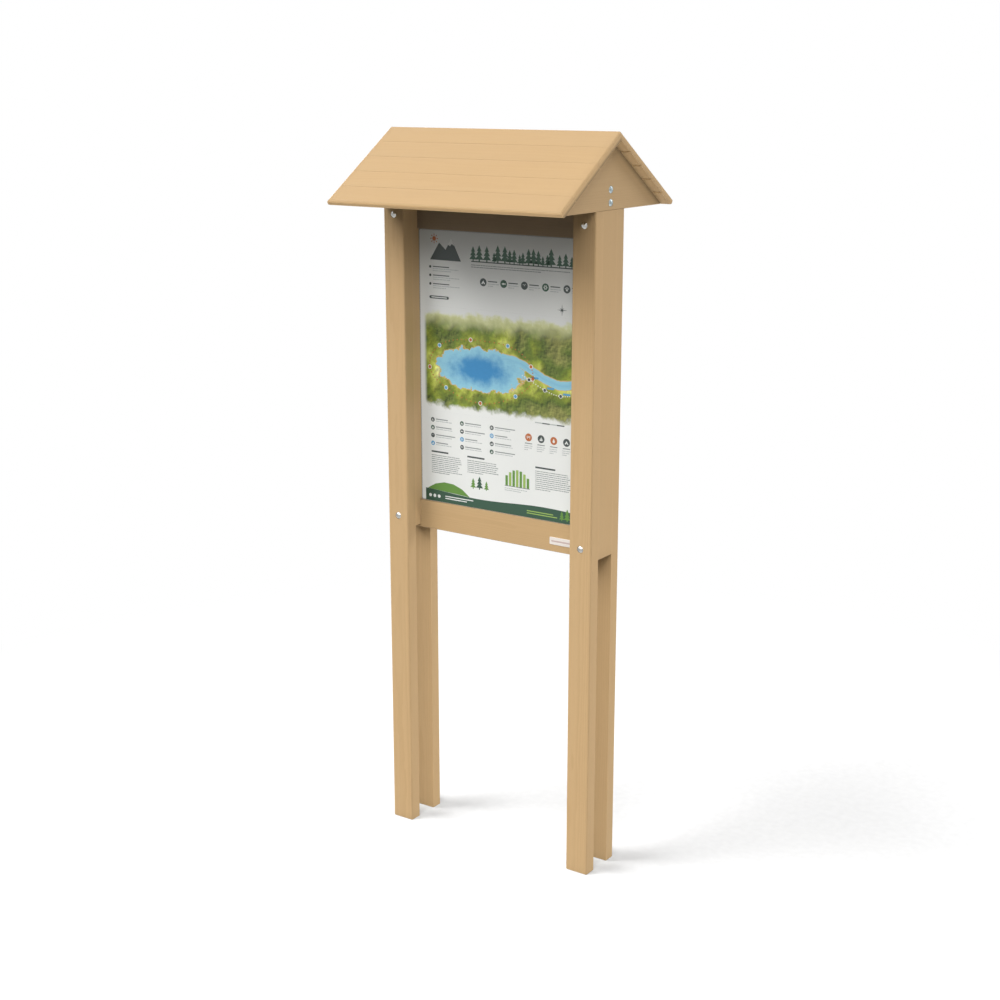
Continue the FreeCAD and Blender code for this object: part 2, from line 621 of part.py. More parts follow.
def cleat_screw_placements():
    """Cleat screws: heads on a cleat's inner side, points in its gable."""
    head_plane = f"({GABLE_INNER} - Sizes.cleat_width)"
    placements = []
    for slope, side in slope_sides():
        for down in cleat_screw_places():
            across = f"{side} * {head_plane}"
            place = in_slope(slope, across, down, CLEAT_MIDDLE, "0; 1; 0", -side * QUARTER_TURN)
            placements.append(place)
    return placements


def board_screw_placements():
    """Roof board screws: heads under a cleat, points in a board."""
    placements = []
    for slope, side in slope_sides():
        for number in BOARD_NUMBERS:
            down = board_screw_place(number)
            across = f"{side} * {CLEAT_CENTRE}"
            placements.append(in_slope(slope, across, down, CLEAT_BASE, "1; 0; 0", HALF_TURN))
    return placements


def make_legs():
    """The planks and the blocks between them."""
    for side_name, side in SIDES.items():
        for end in ENDS:
            keep(make_plank(f"{side_name}_{end}_plank", side, end))
        keep(make_block(f"{side_name}_block", side))


def make_board_frame():
    """The rails and the panel that they frame."""
    rail_height = "Sizes.rail_height"
    keep(make_rail("bottom_rail", BOTTOM_RAIL_BOTTOM, f"{rail_height} - Sizes.panel_inset", rail_height))
    keep(make_rail("top_rail", TOP_RAIL_BOTTOM, "0", "Sizes.panel_inset + Sizes.panel_play"))
    keep(make_panel("graphic_panel"))


def make_roof():
    """The gables, the cleats and the roof boards of both slopes."""
    for slope, turn in ENDS.items():
        add_slope_frame(f"{slope}_slope", turn)
        for number in BOARD_NUMBERS:
            keep(make_board(f"roof_{slope}_board_{number}", slope, number))
    for side_name, side in SIDES.items():
        keep(make_gable(f"{side_name}_gable", side))
        for slope in ENDS:
            keep(make_cleat(f"{side_name}_{slope}_cleat", slope, side))


def make_fasteners():
    """Leg bolts with their washers and nuts, gable screws, and the screws of the roof."""
    bolt = make_bolt("leg_bolt", f"2 * {LEG_FACE}")
    washer = make_washer("washer")
    nut = make_nut("nut")
    keep(make_group("leg_bolts", bolt, leg_places(f"-{LEG_FACE}", QUARTER_TURN)))
    keep(make_group("leg_washers", washer, leg_places(LEG_FACE, -QUARTER_TURN)))
    nut_seat = f"{LEG_FACE} + Sizes.washer_thickness"
    keep(make_group("leg_nuts", nut, leg_places(nut_seat, -QUARTER_TURN)))
    gable_screw = make_domed("gable_screw", "Sizes.gable_screw_length")
    keep(make_group("gable_screws", gable_screw, gable_places()))
    cleat_screw = make_timber_screw("cleat_screw", "Sizes.cleat_screw_width", "Sizes.cleat_screw_length")
    keep(make_group("cleat_screws", cleat_screw, cleat_screw_placements()))
    board_screw = make_timber_screw("board_screw", "Sizes.board_screw_width", "Sizes.board_screw_length")
    keep(make_group("roof_board_screws", board_screw, board_screw_placements()))


def check_document():
    """Stop at any object that failed and at any node without sound solids."""
    for item in doc.Objects:
        if "Invalid" in item.State or "Error" in item.State:
            raise RuntimeError(f"{item.Label} failed: {item.State}")
    for node in nodes:
        shape = node.Shape
        if shape.isNull() or not shape.isValid() or not shape.Solids:
            raise RuntimeError(f"{node.Label} has no sound solid")
        if node.isDerivedFrom("PartDesign::Body") and len(shape.Solids) != 1:
            raise RuntimeError(f"{node.Label} falls into {len(shape.Solids)} solids")


def write_nodes():
    """One file for each node."""
    os.makedirs("parts", exist_ok=True)
    for node in nodes:
        node.Shape.exportStep(f"parts/{node.Label}.step")


sizes_sheet = fill_sheet()
make_legs()
make_board_frame()
make_roof()
make_fasteners()
doc.recompute()
check_document()
write_nodes()
print(f"{len(nodes)} nodes written")
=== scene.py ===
import math
import random

import bmesh
import bpy
from mathutils import Color, Matrix, Vector


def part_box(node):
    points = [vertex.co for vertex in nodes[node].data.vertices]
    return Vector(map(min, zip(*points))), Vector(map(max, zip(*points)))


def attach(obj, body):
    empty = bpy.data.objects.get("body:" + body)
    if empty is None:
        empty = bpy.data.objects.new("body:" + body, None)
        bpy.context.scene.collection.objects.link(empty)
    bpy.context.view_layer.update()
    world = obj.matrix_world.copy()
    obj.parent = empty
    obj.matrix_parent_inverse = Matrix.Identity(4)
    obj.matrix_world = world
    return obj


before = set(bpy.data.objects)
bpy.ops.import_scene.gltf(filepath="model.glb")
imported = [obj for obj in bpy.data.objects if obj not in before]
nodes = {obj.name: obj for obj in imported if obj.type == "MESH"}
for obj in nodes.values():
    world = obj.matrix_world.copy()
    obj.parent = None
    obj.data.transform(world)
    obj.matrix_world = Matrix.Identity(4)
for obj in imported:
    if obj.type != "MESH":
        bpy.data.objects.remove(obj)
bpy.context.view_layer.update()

MM = 0.001
ROOT = "root"

# Camera: the picture's own square frame, a 36 mm sensor and the place found from the sign's edges
CAMERA_TARGET = Vector((-0.0376, 0.0, 1.1009))
CAMERA_DISTANCE = 5.0599
CAMERA_AZIMUTH = math.radians(35.098)
CAMERA_ELEVATION = math.radians(14.669)
CAMERA_ROLL = math.radians(-0.095)
CAMERA_LENS = 59.06
CAMERA_SENSOR = 36.0
CAMERA_SHIFT = (0.00968, 0.00451)

ROOF_PITCH = math.radians(33.7)
ROOF_BOARDS = 5
SLOPES = {"front": 0.0, "rear": math.pi}
SIDES = ("left", "right")
ENDS = ("front", "rear")

# Turns that lay a piece's own axes (along its grain, across it, through it) in the sign's frame
UPRIGHT = Matrix(((0, 1, 0), (0, 0, 1), (1, 0, 0)))
LEVEL = Matrix(((1, 0, 0), (0, 0, -1), (0, 1, 0)))
SIDEWAYS = Matrix(((0, 0, 1), (1, 0, 0), (0, 1, 0)))


FULL_LEVEL = 255


def srgb(red, green, blue):
    """Linear colour with alpha from 0 to 255 display values."""
    display = Color((red / FULL_LEVEL, green / FULL_LEVEL, blue / FULL_LEVEL))
    return (*display.from_srgb_to_scene_linear(), 1.0)


def grey(level):
    """Linear grey with alpha."""
    return (level, level, level, 1.0)


class Graph:
    """Adds nodes to a node tree and links them as they are made."""

    def __init__(self, tree):
        self.tree = tree

    def feed(self, socket, source):
        """Link a socket to another, or set its value."""
        if isinstance(source, bpy.types.NodeSocket):
            self.tree.links.new(source, socket)
        else:
            socket.default_value = source

    def node(self, kind, inputs=None, **settings):
        """A new node with its settings and its inputs."""
        node = self.tree.nodes.new(kind)
        for name, setting in settings.items():
            setattr(node, name, setting)
        for socket, source in (inputs or {}).items():
            self.feed(node.inputs[socket], source)
        return node

    def math(self, operation, *values):
        """Result of a Math node."""
        inputs = dict(enumerate(values))
        return self.node("ShaderNodeMath", inputs, operation=operation).outputs[0]

    def minus(self, value, less):
        """Difference of two values."""
        return self.math("SUBTRACT", value, less)

    def vector(self, operation, *values):
        """Vector result of a Vector Math node."""
        inputs = dict(enumerate(values))
        return self.node("ShaderNodeVectorMath", inputs, operation=operation).outputs["Vector"]

    def product(self, *factors):
        """Product of two or more values."""
        result = factors[0]
        for factor in factors[1:]:
            result = self.math("MULTIPLY", result, factor)
        return result

    def total(self, start, *terms):
        """A start, with each value times its factor added."""
        result = start
        for value, factor in terms:
            result = self.math("MULTIPLY_ADD", value, factor, result)
        return result

    def between(self, pattern, low, high):
        """Value from low to high for a pattern between 0 and 1."""
        return self.total(low, (pattern, high - low))

    def swing(self, pattern, change):
        """Tone about 1 that a pattern between 0 and 1 swings by a change."""
        return self.between(pattern, 1.0 - change / 2, 1.0 + change / 2)

    def length(self, vector):
        """Length of a vector."""
        return self.node("ShaderNodeVectorMath", {0: vector}, operation="LENGTH").outputs["Value"]

    def split(self, vector):
        """The three components of a vector."""
        return self.node("ShaderNodeSeparateXYZ", {"Vector": vector}).outputs

    def noise(self, place, scale, detail=2.0, roughness=0.5):
        """Smooth noise between 0 and 1, with one scale or its own along each axis, in waves per unit."""
        if isinstance(scale, float):
            scale = (scale, scale, scale)
        stretched = self.vector("MULTIPLY", place, scale)
        inputs = {"Vector": stretched, "Scale": 1.0, "Detail": detail, "Roughness": roughness}
        return self.node("ShaderNodeTexNoise", inputs).outputs["Fac"]

    def span(self, value, low, high, start=0.0, end=1.0):
        """A value's way from low to high, eased and clamped, as a share of start to end."""
        inputs = {"Value": value, "From Min": low, "From Max": high, "To Min": start, "To Max": end}
        node = self.node("ShaderNodeMapRange", inputs, interpolation_type="SMOOTHSTEP")
        return node.outputs["Result"]

    def ramp(self, factor, stops):
        """Colour from a ramp of places and colours."""
        node = self.node("ShaderNodeValToRGB", {"Fac": factor})
        elements = node.color_ramp.elements
        elements.remove(elements[1])
        elements[0].position, elements[0].color = stops[0]
        for place, colour in stops[1:]:
            elements.new(place).color = colour
        return node.outputs["Color"]

    def mix(self, factor, first, second, blend="MIX"):
        """Colour mixed from two colours."""
        node = self.node("ShaderNodeMix", data_type="RGBA", blend_type=blend)
        sockets = [socket for socket in node.inputs if socket.enabled]
        for socket, source in zip(sockets, (factor, first, second)):
            self.feed(socket, source)
        return next(socket for socket in node.outputs if socket.enabled)

    def bump(self, height, strength, distance):
        """Normal that a relief of some height bends."""
        inputs = {"Height": height, "Strength": strength, "Distance": distance}
        return self.node("ShaderNodeBump", inputs).outputs["Normal"]

    def scale(self, colour, value):
        """A colour multiplied by a value."""
        node = self.node("ShaderNodeVectorMath", {0: colour, "Scale": value}, operation="SCALE")
        return node.outputs["Vector"]


def cleared(holder):
    """Graph of a material's or world's node tree, emptied."""
    holder.use_nodes = True
    holder.node_tree.nodes.clear()
    return Graph(holder.node_tree)


def new_material(name):
    """An empty node material and its graph."""
    material = bpy.data.materials.new(name)
    return material, cleared(material)


def finish_material(material, graph, inputs):
    """The material, with its shader's inputs and its output."""
    shader = graph.node("ShaderNodeBsdfPrincipled", inputs)
    graph.node("ShaderNodeOutputMaterial", {"Surface": shader.outputs["BSDF"]})
    return material


def own_place(graph):
    """A point's place in the sign's frame."""
    return graph.node("ShaderNodeTexCoord").outputs["Object"]


def upward(graph):
    """How far a face looks up, from -1 to 1."""
    return graph.split(graph.node("ShaderNodeNewGeometry").outputs["Normal"])["Z"]


def open_share(graph, reach):
    """Share of a point's surroundings that is open within a reach in metres."""
    node = graph.node("ShaderNodeAmbientOcclusion", {"Distance": reach}, samples=8)
    return node.outputs["AO"]


# Heights in metres between which the painted shade under the roof grows to its full strength
ROOF_SHADE_HEIGHTS = (1.42, 2.02)


def roof_shade_share(graph, place):
    """Share of the painted shade under the roof at a point of the sign."""
    return graph.span(graph.split(place)["Z"], *ROOF_SHADE_HEIGHTS)


# Wood

EARLY_WOOD = srgb(204, 171, 126)
LATE_WOOD = srgb(196, 162, 117)
BOUNCE_WOOD = (0.38, 0.34, 0.28, 1.0)
WARM_PART = (1.02, 1.0, 0.96, 1.0)
COOL_PART = (0.98, 1.0, 1.05, 1.0)

# The range that smooth noise mostly keeps to
NOISE_CORE = (0.3, 0.7)

# The timber's patterns: waves per metre along the grain, across it and through it, detail and roughness
WOOD_PATTERNS = {
    "wander": ((1.6, 11.0, 11.0), 3.0, 0.5),
    "ragged": ((22.0, 160.0, 160.0), 2.0, 0.5),
    "contrast": ((1.1, 16.0, 16.0), 1.0, 0.5),
    "streak": ((2.2, 70.0, 70.0), 3.0, 0.6),
    "fibre": ((28.0, 1100.0, 1100.0), 2.0, 0.6),
    "pore": ((55.0, 850.0, 850.0), 1.0, 0.5),
    "patch": ((1.3, 7.0, 7.0), 2.0, 0.5),
    "drift": ((1.0, 9.0, 9.0), 1.0, 0.5),
    "edge_wear_highlight": ((60.0, 60.0, 60.0), 2.0, 0.5),
}
SEED_STEP = (1.7, 3.1, 5.3)

# Growth rings: pitch, wander and fraying in metres, then the parts of a ring where late wood grows and
# ends, and its least and greatest contrast
RING_PITCH = 0.0046
RING_WANDER = 0.022
RING_RAGGED = RING_PITCH / 2
LATE_START = (0.25, 0.86)
LATE_END = (1.0, 0.9)
RING_CONTRAST = (0.25, 0.8)
PORE_START = (0.66, 0.74)

# Reaches in metres: wear with a painted highlight from the edges, darker wood beside the ends and painted
# shade at the lower arris of an end
WEAR_HIGHLIGHT_REACH = (0.0012, 0.0032)
END_REACH = (0.03, 0.0)
ARRIS_REACH = (0.012, 0.001)

# Painted corner shade begins where less than this share is open, and spares seams that are nearly closed
CORNER_SHADE_OPENNESS = 0.95
SEAM_OPENNESS = (0.05, 0.3)

# What the patterns and places change at their full strength
TONE_SWINGS = {"streak": 0.08, "fibre": 0.10, "patch": 0.08}
PORE_TONE = -0.10
END_REACH_TONE = -0.05
WEAR_HIGHLIGHT_TONE = 0.05
WOOD_ROUGHNESS = 0.47
ROUGHNESS_CHANGES = {"fibre": 0.16, "ends": 0.14, "edge_wear_highlight": -0.08}
WOOD_RELIEF = {"late": 0.45, "fibre": 0.5, "pore": -0.7, "streak": 0.5}

# How each cut differs: tones are added on its ends, and painted light on its long sides, painted shade on
# its outer face, painted light on its lower bevels, painted shade on the lower arris of its ends, on what
# faces up and under the roof;
# grey is the share of colour lost, which paints deep shade, and painted corner shade has a strength and a
# reach
PLANK_CUT = {
    "Tone": 1.05, "Figure": 0.8, "End tone": -0.13, "Painted side light": 0.0, "Painted top shade": 0.0, "Painted bevel light": 0.0,
    "Painted arris shade": 0.0, "Painted ledge shade": 0.0, "Painted roof shade": -0.13, "Painted shade grey": 0.0, "Painted corner shade": 0.35,
    "Painted shade reach": 0.045,
}
# The left block is painted lighter, which paints the light on its inner face
LEFT_BLOCK_CUT = PLANK_CUT | {"Tone": 1.13, "Painted roof shade": -0.17, "Painted corner shade": 0.03}
RIGHT_BLOCK_CUT = PLANK_CUT | {"Painted corner shade": 0.12}
BLOCK_CUTS = {"left": LEFT_BLOCK_CUT, "right": RIGHT_BLOCK_CUT}
# The bottom rail has painted shade on the ledge that faces up
BOTTOM_RAIL_CUT = PLANK_CUT | {"Tone": 0.98, "Figure": 0.6, "Painted ledge shade": -0.42, "Painted corner shade": 0.25}
# The top rail is painted darker and greyer, for the deep shade under the roof
TOP_RAIL_CUT = PLANK_CUT | {"Tone": 0.78, "Figure": 0.6, "Painted shade grey": 0.24, "Painted corner shade": 0.45}
# The gable is painted darker, for the shade under the roof's overhang, and has strong painted corner shade
# along the roof
GABLE_CUT = PLANK_CUT | {"Tone": 0.87, "Painted roof shade": 0.0, "Painted corner shade": 1.2, "Painted shade reach": 0.022}
# The roof boards are painted lighter all over and darker on top, which paints light on their ends and eave
# faces
FRONT_ROOF_CUT = {
    "Tone": 1.10, "Figure": 0.35, "End tone": -0.04, "Painted side light": 0.34, "Painted top shade": -0.25,
    "Painted bevel light": 0.40, "Painted arris shade": -0.50, "Painted ledge shade": 0.0, "Painted roof shade": 0.0, "Painted shade grey": 0.0,
    "Painted corner shade": 0.9, "Painted shade reach": 0.018,
}
REAR_ROOF_CUT = FRONT_ROOF_CUT | {"End tone": -0.10, "Painted arris shade": -0.15}
ROOF_CUTS = {"front": FRONT_ROOF_CUT, "rear": REAR_ROOF_CUT}


def late_wood(graph, given, pattern):
    """Share of late wood, in growth rings round a heart line that wanders slowly along the piece."""
    from_heart = graph.vector("SUBTRACT", given["Place"], given["Heart"])
    radius = graph.length(graph.vector("MULTIPLY", from_heart, (0.0, 1.0, 1.0)))
    radius = graph.total(radius, (pattern["wander"], RING_WANDER), (pattern["ragged"], RING_RAGGED))
    phase = graph.math("FRACT", graph.math("DIVIDE", radius, RING_PITCH))
    late = graph.product(graph.span(phase, *LATE_START), graph.span(phase, *LATE_END))
    contrast = graph.span(pattern["contrast"], *NOISE_CORE, *RING_CONTRAST)
    return graph.product(late, contrast, given["Figure"])


def edge_wear_and_highlight(graph, depth, pattern):
    """Share of wear with a painted highlight along the edges, where the middle one of a point's three depths
    is small.
    """
    least = graph.math("MINIMUM", depth["X"], depth["Y"])
    most = graph.math("MAXIMUM", depth["X"], depth["Y"])
    second = graph.math("MAXIMUM", least, graph.math("MINIMUM", most, depth["Z"]))
    reach = graph.span(pattern["edge_wear_highlight"], *NOISE_CORE, *WEAR_HIGHLIGHT_REACH)
    return graph.span(graph.math("DIVIDE", second, reach), 1.0, 0.0)


def tone_shares(graph, given, facing, flat):
    """Share of each tone that a cut's table sets, from where a point lies and how its face looks; most of
    these tones paint light and shade.
    """
    end_grain = graph.span(facing["X"], low=0.55, high=0.85)
    outward = graph.split(given["Facing"])["Z"]
    slanted = graph.minus(1.0, flat)
    above = graph.math("ADD", graph.split(given["Place"])["Z"], graph.split(given["Half size"])["Z"])
    return {
        "End tone": end_grain,
        "Painted side light": graph.span(facing["Y"], low=0.8, high=0.97),
        "Painted top shade": graph.span(outward, low=0.5, high=0.95),
        "Painted bevel light": graph.product(slanted, graph.span(outward, low=-0.2, high=-0.5)),
        "Painted arris shade": graph.product(graph.span(above, *ARRIS_REACH), end_grain),
        "Painted ledge shade": graph.span(upward(graph), low=0.3, high=0.6),
        "Painted roof shade": given["Roof shade share"],
    }


def painted_corner_shade(graph, given, flat):
    """Painted shade where pieces meet, from an ambient occlusion node, except on bevels, in tight seams and
    on faces that look up.
    """
    openness = open_share(graph, given["Painted shade reach"])
    closeness = graph.math("MAXIMUM", graph.minus(CORNER_SHADE_OPENNESS, openness), 0.0)
    not_facing_up = graph.span(upward(graph), low=0.6, high=0.2)
    return graph.product(closeness, not_facing_up, flat, graph.span(openness, *SEAM_OPENNESS), given["Painted corner shade"])


def wood_group():
    """Node group of oiled timber, in a piece's own axes: along the grain, across it and through it."""
    tree = bpy.data.node_groups.new("oiled_timber", "ShaderNodeTree")
    for name in ("Place", "Facing", "Half size", "Heart"):
        tree.interface.new_socket(name, in_out="INPUT", socket_type="NodeSocketVector")
    for name in ("Seed", "Roof shade share", *PLANK_CUT):
        tree.interface.new_socket(name, in_out="INPUT", socket_type="NodeSocketFloat")
    for name, kind in (("Color", "Color"), ("Roughness", "Float"), ("Normal", "Vector")):
        tree.interface.new_socket(name, in_out="OUTPUT", socket_type=f"NodeSocket{kind}")
    graph = Graph(tree)
    given = graph.node("NodeGroupInput").outputs

    # Patterns that run along the grain
    shifted = graph.vector("ADD", given["Place"], graph.scale(SEED_STEP, given["Seed"]))
    pattern = {name: graph.noise(shifted, *settings) for name, settings in WOOD_PATTERNS.items()}
    pattern["pore"] = graph.span(pattern["pore"], *PORE_START)
    pattern["late"] = late_wood(graph, given, pattern)

    # Places on the piece and ways that its faces look
    from_middle = graph.vector("ABSOLUTE", given["Place"])
    depth = graph.split(graph.vector("SUBTRACT", given["Half size"], from_middle))
    near_end = graph.span(depth["X"], *END_REACH)
    pattern["edge_wear_highlight"] = edge_wear_and_highlight(graph, depth, pattern)
    facing = graph.split(graph.vector("ABSOLUTE", given["Facing"]))
    squarest = graph.math("MAXIMUM", graph.math("MAXIMUM", facing["X"], facing["Y"]), facing["Z"])
    flat = graph.span(squarest, low=0.75, high=0.93)
    shares = tone_shares(graph, given, facing, flat)
    pattern["ends"] = shares["End tone"]

    # Tone: the patterns are as strong as the figure, and places and faces come on top, many of them painted
    # light and shade
    swings = [graph.swing(pattern[name], change) for name, change in TONE_SWINGS.items()]
    shade = graph.product(*swings, graph.total(1.0, (pattern["pore"], PORE_TONE)))
    shade = graph.total(1.0, (graph.minus(shade, 1.0), given["Figure"]))
    tones = [(share, given[name]) for name, share in shares.items()]
    # Lighter edges are wear with a painted highlight; darker wood beside the ends is the wood's own
    tones += [(near_end, END_REACH_TONE), (pattern["edge_wear_highlight"], WEAR_HIGHLIGHT_TONE)]
    # Painted shade in corners and where pieces meet
    tones.append((painted_corner_shade(graph, given, flat), -1.0))
    shade = graph.product(shade, *(graph.total(1.0, tone) for tone in tones), given["Tone"])

    colour = graph.scale(graph.mix(pattern["late"], EARLY_WOOD, LATE_WOOD), shade)
    colour = graph.mix(1.0, colour, graph.mix(pattern["drift"], WARM_PART, COOL_PART), "MULTIPLY")
    # The share of grey that the colour loses paints deep shade
    shade_grey_value = graph.node("ShaderNodeRGBToBW", {"Color": colour}).outputs["Val"]
    colour = graph.mix(given["Painted shade grey"], colour, shade_grey_value)
    bounced = graph.node("ShaderNodeLightPath").outputs["Is Diffuse Ray"]
    colour = graph.mix(bounced, colour, BOUNCE_WOOD)

    rough = [(pattern[name], change) for name, change in ROUGHNESS_CHANGES.items()]
    relief = [(pattern[name], change) for name, change in WOOD_RELIEF.items()]
    bump = graph.bump(graph.total(0.0, *relief), strength=0.55, distance=0.00035)
    result = {"Color": colour, "Roughness": graph.total(WOOD_ROUGHNESS, *rough), "Normal": bump}
    graph.node("NodeGroupOutput", result)
    return tree


timber = wood_group()


def piece_box(piece, turn):
    """Middle and half size of a piece, along its own axes."""
    back = turn.transposed()
    points = [back @ vertex.co for vertex in piece.data.vertices]
    low = Vector([min(point[axis] for point in points) for axis in range(3)])
    high = Vector([max(point[axis] for point in points) for axis in range(3)])
    return turn @ ((low + high) / 2), (high - low) / 2


# Spread of the pieces: heart line across as a share of the half width and beyond the face in metres, part of
# the log and tone
HEART_ACROSS = (-0.8, 0.8)
HEART_BEYOND = (0.02, 0.07)
LOG_PARTS = (0.0, 20.0)
TONE_SPREAD = (0.985, 1.015)
TIMBER_SEED = 11


def wood_material(piece, turn, cut, chance):
    """Oiled timber for one piece, cut from its own part of the log."""
    middle, half = piece_box(piece, turn)
    material, graph = new_material(f"{piece.name}_timber")
    angles = turn.to_euler()
    sign_place = own_place(graph)
    moved = {"Vector": sign_place, "Location": middle, "Rotation": angles}
    place = graph.node("ShaderNodeMapping", moved, vector_type="TEXTURE")
    facing = graph.node("ShaderNodeNewGeometry").outputs["Normal"]
    turned = graph.node("ShaderNodeMapping", {"Vector": facing, "Rotation": angles}, vector_type="TEXTURE")
    across = chance.uniform(*HEART_ACROSS) * half.y
    through = chance.choice((-1, 1)) * (half.z + chance.uniform(*HEART_BEYOND))
    inputs = {
        "Place": place.outputs["Vector"],
        "Facing": turned.outputs["Vector"],
        "Half size": half,
        "Heart": (0.0, across, through),
        "Seed": chance.uniform(*LOG_PARTS),
        "Roof shade share": roof_shade_share(graph, sign_place),
    }
    tone = {"Tone": cut["Tone"] * chance.uniform(*TONE_SPREAD)}
    wood = graph.node("ShaderNodeGroup", inputs | cut | tone, node_tree=timber).outputs
    return finish_material(material, graph, {
        "Base Color": wood["Color"], "Roughness": wood["Roughness"], "Normal": wood["Normal"],
        "Specular IOR Level": 0.22,
    })


def slope_turn(heading):
    """Axes of a board on a slope: along the roof, down the slope and square to it."""
    return Matrix.Rotation(heading, 3, "Z") @ Matrix.Rotation(ROOF_PITCH, 3, "X")


def rake_turn(heading):
    """Axes of a cleat on a slope: down the slope, along the roof and square to it."""
    return slope_turn(heading) @ Matrix.Rotation(math.pi / 2, 3, "Z")


def dress(name, material):
    """Give a CAD node its material."""
    piece = nodes[name]
    piece.data.materials.clear()
    piece.data.materials.append(material)


def dress_timber():
    """A material of its own for each timber piece."""
    cuts = {}
    for side in SIDES:
        for end in ENDS:
            cuts[f"{side}_{end}_plank"] = UPRIGHT, PLANK_CUT
            cuts[f"{side}_{end}_cleat"] = rake_turn(SLOPES[end]), ROOF_CUTS[end]
        cuts[f"{side}_block"] = UPRIGHT, BLOCK_CUTS[side]
        cuts[f"{side}_gable"] = SIDEWAYS, GABLE_CUT
    cuts["bottom_rail"] = LEVEL, BOTTOM_RAIL_CUT
    cuts["top_rail"] = LEVEL, TOP_RAIL_CUT
    for slope, heading in SLOPES.items():
        for number in range(1, ROOF_BOARDS + 1):
            cuts[f"roof_{slope}_board_{number}"] = slope_turn(heading), ROOF_CUTS[slope]
    chance = random.Random(TIMBER_SEED)
    for name, (turn, cut) in cuts.items():
        dress(name, wood_material(nodes[name], turn, cut, chance))


# Metal

# What bloom and scratches add to the roughness of zinc
BLOOM_ROUGHNESS = 0.16
SCRATCH_ROUGHNESS = 0.08

# Each finish: its colour, its colour under bloom, its roughness and the pieces that have it
ZINC_FINISHES = {
    "bright_zinc": (srgb(172, 172, 169), srgb(146, 147, 144), 0.16, ("leg_bolts",)),
    "blue_zinc": (srgb(146, 156, 158), srgb(124, 136, 140), 0.36, ("gable_screws",)),
    "dull_zinc": (
        srgb(186, 189, 192), srgb(150, 154, 158), 0.34,
        ("leg_washers", "leg_nuts", "cleat_screws", "roof_board_screws"),
    ),
}


def steel_material(name, colour, dull, roughness):
    """Zinc-plated steel with fine scratches and a dull bloom."""
    material, graph = new_material(name)
    place = own_place(graph)
    cloud = graph.noise(place, scale=160.0, detail=3.0, roughness=0.6)
    bloom = graph.span(cloud, low=0.42, high=0.68)
    scratch = graph.noise(place, scale=(2400.0, 300.0, 2400.0), roughness=0.7)
    return finish_material(material, graph, {
        "Base Color": graph.mix(bloom, colour, dull),
        "Roughness": graph.total(roughness, (bloom, BLOOM_ROUGHNESS), (scratch, SCRATCH_ROUGHNESS)),
        "Normal": graph.bump(scratch, strength=0.25, distance=0.00008),
        "Metallic": 1.0,
    })


def dress_metal():
    """Bright zinc on the domed heads, blue zinc on the gables' screws and dull zinc on all other steel."""
    for name, (colour, dull, roughness, pieces) in ZINC_FINISHES.items():
        finish = steel_material(name, colour, dull, roughness)
        for piece in pieces:
            dress(piece, finish)


# Print

# Places on the panel in millimetres from the lower left corner of what the frame leaves open
PANEL_WIDTH = 600
PRINT_MARGIN = 16
PRINT_LAYER = 0.12
PRINT_THICKNESS = 1.5 * PRINT_LAYER
ARC_STEP = math.radians(15)
INKS = {
    "slate": srgb(60, 68, 66),
    "grey": srgb(134, 139, 137),
    "mist": srgb(186, 190, 187),
    "pine": srgb(47, 78, 60),
    "moss": srgb(98, 140, 62),
    "meadow": srgb(150, 180, 92),
    "water": srgb(92, 158, 200),
    "clay": srgb(184, 106, 60),
    "paper": srgb(236, 237, 233),
    "rose": srgb(206, 184, 178),
}
PAPER = srgb(238, 239, 235)

# Word bars in millimetres: their lengths, gaps and height, the pitch of lines and how full lines are
WORD_LENGTHS = (3.0, 17.0)
SHORTEST_WORD = 1.5
WORD_GAP = 1.3
WORD_HEIGHT = 2.0
LINE_PITCH = 6.2
FULL_LINE = (0.86, 1.0)
LAST_LINE = (0.4, 0.7)
PRINT_SEED = 5


def corner_of_view():
    """Lower left corner of the panel's open part, on its front face."""
    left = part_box("left_block")[1].x
    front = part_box("graphic_panel")[0].y
    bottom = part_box("bottom_rail")[1].z
    return Vector((left, front, bottom))


def arc(across, up, radius, start, end):
    """Points of an arc between two angles in degrees."""
    first, last = math.radians(start), math.radians(end)
    steps = max(2, round(abs(last - first) / ARC_STEP))
    angles = [first + (last - first) * step / steps for step in range(steps + 1)]
    return [(across + radius * math.cos(angle), up + radius * math.sin(angle)) for angle in angles]


def disc(across, up, radius):
    """Outline of a disc."""
    return arc(across, up, radius, 0, 360)[:-1]


def block(left, low, width, height):
    """Outline of a rectangle."""
    return [(left, low), (left + width, low), (left + width, low + height), (left, low + height)]


def pill(left, low, width, height):
    """Outline of a bar with round ends."""
    radius = height / 2
    middle = low + radius
    return arc(left + width - radius, middle, radius, -90, 90) + arc(left + radius, middle, radius, 90, 270)


def placed(outlines, across, up, size, turn=0):
    """Outlines drawn about the origin, scaled, turned by degrees and moved to a place."""
    cosine, sine = math.cos(math.radians(turn)), math.sin(math.radians(turn))
    return [
        [(across + size * (x * cosine - y * sine), up + size * (x * sine + y * cosine)) for x, y in outline]
        for outline in outlines
    ]


# Pictures, drawn about the origin and reaching about 1 each way

def spruce():
    """Conifer of three tiers on a short trunk."""
    half = [(0.09, -1.0), (0.09, -0.74)]
    for tier in range(3):
        low = -0.74 + 0.5 * tier
        half.append((0.62 - 0.14 * tier, low))
        half.append((0.20 - 0.05 * tier, low + 0.52))
    half[-1] = (0.0, 1.0)
    return [half + [(-x, y) for x, y in reversed(half[:-1])]]


def tent():
    """Ridge tent from the front with an open door."""
    return [[(0.95, -0.7), (0.0, 0.75), (-0.95, -0.7), (-0.3, -0.7), (0.0, -0.1), (0.3, -0.7)]]


